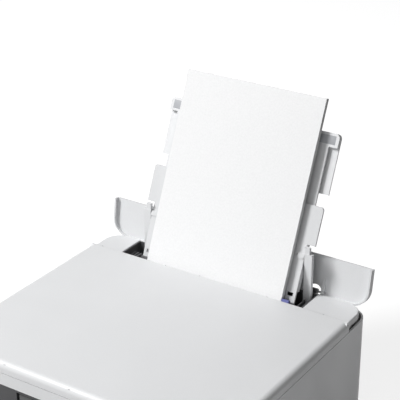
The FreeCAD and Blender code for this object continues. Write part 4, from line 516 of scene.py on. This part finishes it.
# The carriage is a black pocket for four ink cartridges, with the print head's
# nozzle plate under it. Each cartridge shows its ink through a tinted case and
# has four thumb ridges on its nose.
def inked(name, colour):
    """Cartridge case: glossy tinted plastic, deeper where the ink stands behind it."""
    look, tree, shader, where = finish_start(name)
    depth = tint(tree, cloud(tree, where, 0.018, 2), shaded(colour, 0.72), colour)
    tree.links.new(depth, shader.inputs["Base Color"])
    tree.links.new(between(tree, cloud(tree, where, 0.012, 4), 0.16, 0.34), shader.inputs["Roughness"])
    shader.inputs["Coat Weight"].default_value = 0.2
    dented(tree, shader, cloud(tree, where, 0.0009, 2), 0.00001)
    return look


carriage_black = moulded("carriage_black", (0.020, 0.020, 0.022), 0.4)
dress(carriage_black, "carriage")
dress(plated("nozzle_plate", (0.60, 0.58, 0.52), 0.24, (1, 12, 1)), "print_head")
INKS = {
    "ink_black": ((0.022, 0.022, 0.024), "ink_k"),
    "ink_cyan": ((0.015, 0.30, 0.55), "ink_c"),
    "ink_magenta": ((0.52, 0.03, 0.20), "ink_m"),
    "ink_yellow": ((0.80, 0.58, 0.02), "ink_y"),
}
INK_FIRST = 0.105
INK_PITCH = 0.020
NOSE_TOP = 0.135
RIDGE_FIRST = -0.058
RIDGE_PITCH = 0.0022
RIDGE_COUNT = 4
RIDGE_HALF = 0.0066
RIDGE_ROUND = (0.0006, 0.0005)
RIDGE_SUNK = 0.1
RIDGE_POINTS = 13


def thumb_ridges(name, middle):
    """Each ridge is a half round bar, (w cos t, h sin t) on top of the nose, carried across it."""
    t = np.linspace(0, math.pi, RIDGE_POINTS)
    x = middle + RIDGE_HALF * np.array([-1, 1])
    y = RIDGE_FIRST + RIDGE_PITCH * np.arange(RIDGE_COUNT)[:, None] + RIDGE_ROUND[0] * np.cos(t)
    z = NOSE_TOP + RIDGE_ROUND[1] * (np.sin(t) - RIDGE_SUNK)
    return lofted(name, np.stack(np.broadcast_arrays(x[None, :, None], y[:, None, :], z), -1))


for place, (ink, (colour, slot)) in enumerate(INKS.items()):
    ink_case = inked(f"{ink}_case", colour)
    dress(ink_case, ink)
    settle(thumb_ridges(f"{ink}_ridges", INK_FIRST + place * INK_PITCH), ink_case, "carriage")


# The capping sled rises at the right end and presses a soft lip against the
# nozzles while the printer is off.
dress(moulded("sled_grey", (0.30, 0.30, 0.31), 0.45), "cap_sled")
dress(tyre_rubber, "cap_seal")


# The casing, the lid and the rear bezel are light grey ABS from one set of
# tools, with the same fine spark texture.
SHELL_GREY = (0.735, 0.742, 0.752)
shell_plastic = moulded("shell_plastic", SHELL_GREY, 0.44, 0.0008, 0.000025, 0.012, 0.025)
dress(shell_plastic, "main_casing")


# The front fascia is a dark frame round the output slot, and its black gloss
# panel tilts out with a small display and three keys.
fascia_plastic = moulded("fascia_plastic", (0.030, 0.030, 0.033), 0.42, 0.0009, 0.00004, 0.05, 0.1)
dress(fascia_plastic, "front_fascia")


def polished(name, colour):
    """Polished plastic: deep colour, long soft waviness and faint wiping marks in the shine."""
    look, tree, shader, where = finish_start(name)
    waviness = tint(tree, cloud(tree, where, 0.05, 2), colour, shaded(colour, 1.5))
    tree.links.new(waviness, shader.inputs["Base Color"])
    wiped = cloud(tree, where, 0.002, 5, (14, 1, 1))
    tree.links.new(between(tree, wiped, 0.06, 0.17), shader.inputs["Roughness"])
    shader.inputs["Coat Weight"].default_value = 0.5
    dented(tree, shader, cloud(tree, where, 0.03, 1), 0.00002)
    return look


CELL_PITCH = 0.0006
CELL_GAP = 0.12


def display_glass(name, dark, lit, pitch):
    """Dark display window: a faint grid of cells behind a clear polished face."""
    look, tree, shader, where = finish_start(name)
    cells = tree.nodes.new("ShaderNodeTexBrick")
    cells.offset = 0.0
    cells.inputs["Scale"].default_value = 1.0
    cells.inputs["Brick Width"].default_value = pitch
    cells.inputs["Row Height"].default_value = pitch
    cells.inputs["Mortar Size"].default_value = pitch * CELL_GAP
    cells.inputs["Color1"].default_value = (*lit, 1)
    cells.inputs["Color2"].default_value = (*shaded(lit, 0.9), 1)
    cells.inputs["Mortar"].default_value = (*dark, 1)
    turn = tree.nodes.new("ShaderNodeMapping")
    turn.inputs["Rotation"].default_value = (math.radians(90), 0, 0)
    tree.links.new(where, turn.inputs["Vector"])
    tree.links.new(turn.outputs["Vector"], cells.inputs["Vector"])
    tree.links.new(cells.outputs["Color"], shader.inputs["Base Color"])
    shader.inputs["Roughness"].default_value = 0.05
    shader.inputs["Coat Weight"].default_value = 1.0
    return look


panel_gloss = polished("panel_gloss", (0.012, 0.012, 0.013))
key_grey = moulded("key_grey", (0.50, 0.505, 0.515), 0.34, 0.0006, 0.00001)
dress(panel_gloss, "control_panel")
dress(display_glass("screen_glass", (0.010, 0.012, 0.014), (0.030, 0.038, 0.044), CELL_PITCH), "screen")
dress(key_grey, "power_button", "stop_button", "start_button")

# Each key has a raised sign, a ring with a straight bar: its place across, the
# ring's radius and two angles, the bar's ends from the middle and its half width.
KEY_FACE = -0.210186
KEY_LEVEL = 0.1245
KEY_MARK = (0.00012, 0.00055)
RING_HALF = 0.00026
STROKE_POINTS = 40
SIGNS = {
    "power": (-0.060, 0.0021, (125, 415), ((0, 0.0004), (0, 0.0027)), 0.00026),
    "stop": (0.044, 0.0022, (0, 359), ((-0.0012, 0), (0.0012, 0)), 0.0003),
    "start": (0.062, 0.0022, (0, 359), ((0, -0.0012), (0, 0.0012)), 0.0003),
}


def key_stroke(path, half):
    """Rings of a raised line: a small rectangle across the path, between KEY_MARK's two depths."""
    path = np.asarray(path, float)
    way = np.gradient(path, axis=0)
    way /= np.linalg.norm(way, axis=1, keepdims=True)
    side = np.stack([-way[:, 1], way[:, 0]], -1) * half
    near, far = path + side, path - side
    flat = np.stack([near, far, far, near], 1)
    deep = np.broadcast_to(KEY_FACE + np.repeat(KEY_MARK, 2), flat.shape[:2])
    return np.stack([flat[..., 0], deep, flat[..., 1]], -1)


def arc(middle, radius, start, end):
    """Points of a circle between two angles in degrees."""
    turn = np.radians(np.linspace(start, end, STROKE_POINTS))
    return np.stack([middle[0] + radius * np.cos(turn), middle[1] + radius * np.sin(turn)], -1)


key_ink = moulded("key_ink", (0.05, 0.05, 0.055), 0.5)
for sign, (across, radius, turn, ends, half) in SIGNS.items():
    middle = np.array([across, KEY_LEVEL])
    ring = key_stroke(arc(middle, radius, *turn), RING_HALF)
    bar = key_stroke(np.linspace(middle + ends[0], middle + ends[1], STROKE_POINTS), half)
    settle(lofted(f"{sign}_mark", np.stack([ring, bar])), key_ink, f"{sign}_button")


DOME_TURN = (-0.25, 1.45)


def domes(name, spots, up, radius, rise, rings=7, points=24):
    """Low domes: at angle t from its foot to its crown a ring has radius r cos t and height h sin t."""
    up = np.asarray(up, float) / np.linalg.norm(up)
    across = np.array([1.0, 0, 0])
    beside = np.cross(up, across)
    t = np.linspace(*DOME_TURN, rings)[:, None, None]
    a = np.linspace(0, 2 * math.pi, points, endpoint=False)[None, :, None]
    one = radius * np.cos(t) * (np.cos(a) * across + np.sin(a) * beside) + rise * np.sin(t) * up
    return lofted(name, np.asarray(spots, float)[:, None, None, :] + one[None])


def lamp_lens(name, colour):
    """Small signal lens: clear tinted plastic with a frosted core."""
    look, tree, shader, where = finish_start(name)
    core = tint(tree, cloud(tree, where, 0.0008, 2), shaded(colour, 0.7), colour)
    tree.links.new(core, shader.inputs["Base Color"])
    shader.inputs["Roughness"].default_value = 0.14
    shader.inputs["Transmission Weight"].default_value = 0.3
    return look


PANEL_FACE = -0.208386
LAMP_PLACES = (-0.046, -0.036)
LAMP_RADIUS = 0.0014
LAMP_RISE = 0.0006
lamp_spots = [(x, PANEL_FACE, KEY_LEVEL) for x in LAMP_PLACES]
lens_green = lamp_lens("lens_green", (0.10, 0.45, 0.16))
settle(domes("signal_lamps", lamp_spots, (0, -1, 0), LAMP_RADIUS, LAMP_RISE), lens_green, "panel")


# The output tray slides out of the slot, and its middle leaf pulls out further.
tray_plastic = moulded("tray_plastic", (0.038, 0.038, 0.041), 0.45, 0.0009, 0.00004, 0.05, 0.1)
dress(tray_plastic, "output_tray", "tray_extension")


# The deck under the lid is dark. Steel pins hinge the lid on its lugs, and also
# the paper support and the feed cover.
deck_black = moulded("deck_black", (0.028, 0.028, 0.030), 0.5)
dress(deck_black, "top_deck")
dress(shaft_steel, "hinge_pins")


# The lid is a wide flat moulding with softly rounded edges.
dress(shell_plastic, "top_cover")

# Small dark rest pips sit in the lid's rear edge, where it meets the bezel.
SEAM_PIPS = (-0.183, -0.077, -0.022, 0.082, 0.134, 0.1636)
LID_AXIS = (0.094814, 0.1717)
LID_ROLL = 0.0043
PIP_TURN = math.radians(40)
PIP_RADIUS = 0.00125
PIP_RISE = 0.0003
pip_up = (0, math.sin(PIP_TURN), math.cos(PIP_TURN))
pip_place = (LID_AXIS[0] + LID_ROLL * pip_up[1], LID_AXIS[1] + LID_ROLL * pip_up[2])
pip_spots = [(x, *pip_place) for x in SEAM_PIPS]
pip_rubber = rubbery("pip_rubber", (0.05, 0.05, 0.052))
settle(domes("lid_pips", pip_spots, pip_up, PIP_RADIUS, PIP_RISE), pip_rubber, "lid")


# The rear bezel stands a little in from the casing and frames the paper feed.
# The feed well below it is black, and two posts stand up from its floor.
well_black = moulded("well_black", (0.090, 0.090, 0.093), 0.34, 0.0008, 0.00003, 0.05, 0.1)
dress(shell_plastic, "rear_bezel", "support_posts")
dress(well_black, "feed_well")


# The paper support leans back on pins between the posts, and its extension
# slides up behind it in two rails.
# The support is the same grey ABS as the shell; its colour is the shell grey at 0.89 as painted shade, since
# it takes more of the lamps' light than the lid.
support_shell_painted_shade = moulded("support_shell_painted_shade", shaded(SHELL_GREY, 0.89), 0.4, 0.0008, 0.000025, 0.012, 0.025)
dress(support_shell_painted_shade, "paper_support")
dress(shell_plastic, "support_extension")


# The paper is a stack of plain A4 sheets that leans on the support. Each sheet
# lies a hair's breadth out of line with the next.
PAPER_LEAN = math.radians(23.1)
PAPER_MIDDLE = -0.005
PAPER_FOOT = (0.102114, 0.176)
SHEET_HALF = 0.105
SHEET_RUN = (-0.035, 0.262)
STACK_DEPTH = 0.0065
SHEET_COUNT = 30
SHEET_FILL = 0.95
SHEET_COLUMNS = 9
SHEET_STATIONS = 25
SHEET_SHIFT = 0.00022
SHEET_DROP = 0.00025
SHEET_SEED = 7


def on_paper(across, depth, along):
    """Points of the leaning paper frame: across from its middle, behind its face, up its slope."""
    x = PAPER_MIDDLE + across
    y = PAPER_FOOT[0] + along * math.sin(PAPER_LEAN) + depth * math.cos(PAPER_LEAN)
    z = PAPER_FOOT[1] + along * math.cos(PAPER_LEAN) - depth * math.sin(PAPER_LEAN)
    return np.stack(np.broadcast_arrays(x, y, z), -1)


def sheet_stack(name):
    """Each sheet is a flat ring carried up the slope and shifted by its own small offset."""
    rng = np.random.default_rng(SHEET_SEED)
    pitch = STACK_DEPTH / SHEET_COUNT
    run = np.linspace(-SHEET_HALF, SHEET_HALF, SHEET_COLUMNS)
    ring_x = np.concatenate([run, run[::-1]])
    ring_d = np.repeat([0, pitch * SHEET_FILL], SHEET_COLUMNS)
    along = np.linspace(*SHEET_RUN, SHEET_STATIONS)
    shift = rng.uniform(-SHEET_SHIFT, SHEET_SHIFT, SHEET_COUNT)
    drop = rng.uniform(-SHEET_DROP, SHEET_DROP, SHEET_COUNT)
    level = np.arange(SHEET_COUNT) * pitch
    across = ring_x[None, None, :] + shift[:, None, None]
    depth = level[:, None, None] + ring_d[None, None, :]
    up = along[None, :, None] + drop[:, None, None]
    return lofted(name, on_paper(across, depth, up))


def plain_paper(name):
    """Uncoated paper: a faint fibre mottle, matt, with almost no relief."""
    look, tree, shader, where = finish_start(name)
    mottle = tint(tree, cloud(tree, where, 0.0022, 5), (0.800, 0.803, 0.806), (0.845, 0.847, 0.850))
    tree.links.new(mottle, shader.inputs["Base Color"])
    shader.inputs["Roughness"].default_value = 0.9
    shader.inputs["Specular IOR Level"].default_value = 0.2
    dented(tree, shader, cloud(tree, where, 0.0009, 4), 0.00002)
    return look


paper = settle(sheet_stack("paper_sheets"), plain_paper("plain_paper"), "paper")
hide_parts("paper_stack")


# A grey pad lies on the dish along the extension's grip, with a narrow light
# border left round it.
GRIP_HALF = 0.1245
GRIP_RUN = (0.2058, 0.2182)
GRIP_DEPTH = (0.0150, 0.01325)
GRIP_BEVEL = 0.0007


def grip_pad(name):
    """One raised pad: a rectangle on the dish's floor, drawn in by a small bevel at its face."""
    inset = np.array([0, 0, GRIP_BEVEL])
    depth = np.array([GRIP_DEPTH[0], GRIP_DEPTH[1] + GRIP_BEVEL / 2, GRIP_DEPTH[1]])
    corner_x = np.array([-1, 1, 1, -1])[None, :] * (GRIP_HALF - inset)[:, None]
    middle, half = np.mean(GRIP_RUN), np.ptp(GRIP_RUN) / 2
    corner_s = middle + np.array([-1, -1, 1, 1])[None, :] * (half - inset)[:, None]
    return lofted(name, on_paper(corner_x, depth[:, None], corner_s)[None])


grip_grey = moulded("grip_grey", (0.40, 0.41, 0.43), 0.5, 0.0011, 0.00005, 0.02, 0.03)
settle(grip_pad("grip_pad"), grip_grey, "extension")


# Two guides hold the sheets at their edges and slide on ledges of the well. The
# right one is the one to pinch, so it alone is violet blue.
guide_violet = moulded("guide_violet", (0.150, 0.165, 0.40), 0.4)
dress(well_black, "paper_guide_left")
dress(guide_violet, "paper_guide_right")


# The pickup roller hangs over the sheets on a plain bar with two soft tyres.
dress(tyre_rubber, "pickup_roller")


# The feed cover stands open behind the paper on two ears of the well.
dress(shell_plastic, "feed_cover")

# A tapered rib stiffens the cover beside each of its two round notches.
COVER_AXIS = (0.150614, 0.1725)
COVER_OPEN = math.radians(98)
COVER_FACE = 0.0005
RIB_SPOTS = (-0.1455, 0.1355)
RIB_RUN = (0.0045, 0.0185)
RIB_HALF = (0.0021, 0.0013)
RIB_RISE = (0.0060, 0.0008)
RIB_SUNK = 0.05
RIB_STATIONS = 6


def cover_ribs(name):
    """Each rib is a rectangle carried up the cover's inner face, narrowing and thinning to its tip."""
    share = np.linspace(0, 1, RIB_STATIONS)[:, None]
    along = RIB_RUN[0] + np.ptp(RIB_RUN) * share
    half = RIB_HALF[0] + (RIB_HALF[1] - RIB_HALF[0]) * share
    rise = RIB_RISE[0] + (RIB_RISE[1] - RIB_RISE[0]) * share
    side, lift = np.array([[-1, 1, 1, -1]]), np.array([[-RIB_SUNK, -RIB_SUNK, 1, 1]])
    depth = COVER_FACE - rise * lift
    y = COVER_AXIS[0] - along * math.cos(COVER_OPEN) + depth * math.sin(COVER_OPEN)
    z = COVER_AXIS[1] + along * math.sin(COVER_OPEN) + depth * math.cos(COVER_OPEN)
    rings = [np.stack(np.broadcast_arrays(spot + half * side, y, z), -1) for spot in RIB_SPOTS]
    return lofted(name, np.array(rings))


settle(cover_ribs("cover_ribs"), shell_plastic, "hopper_cover")
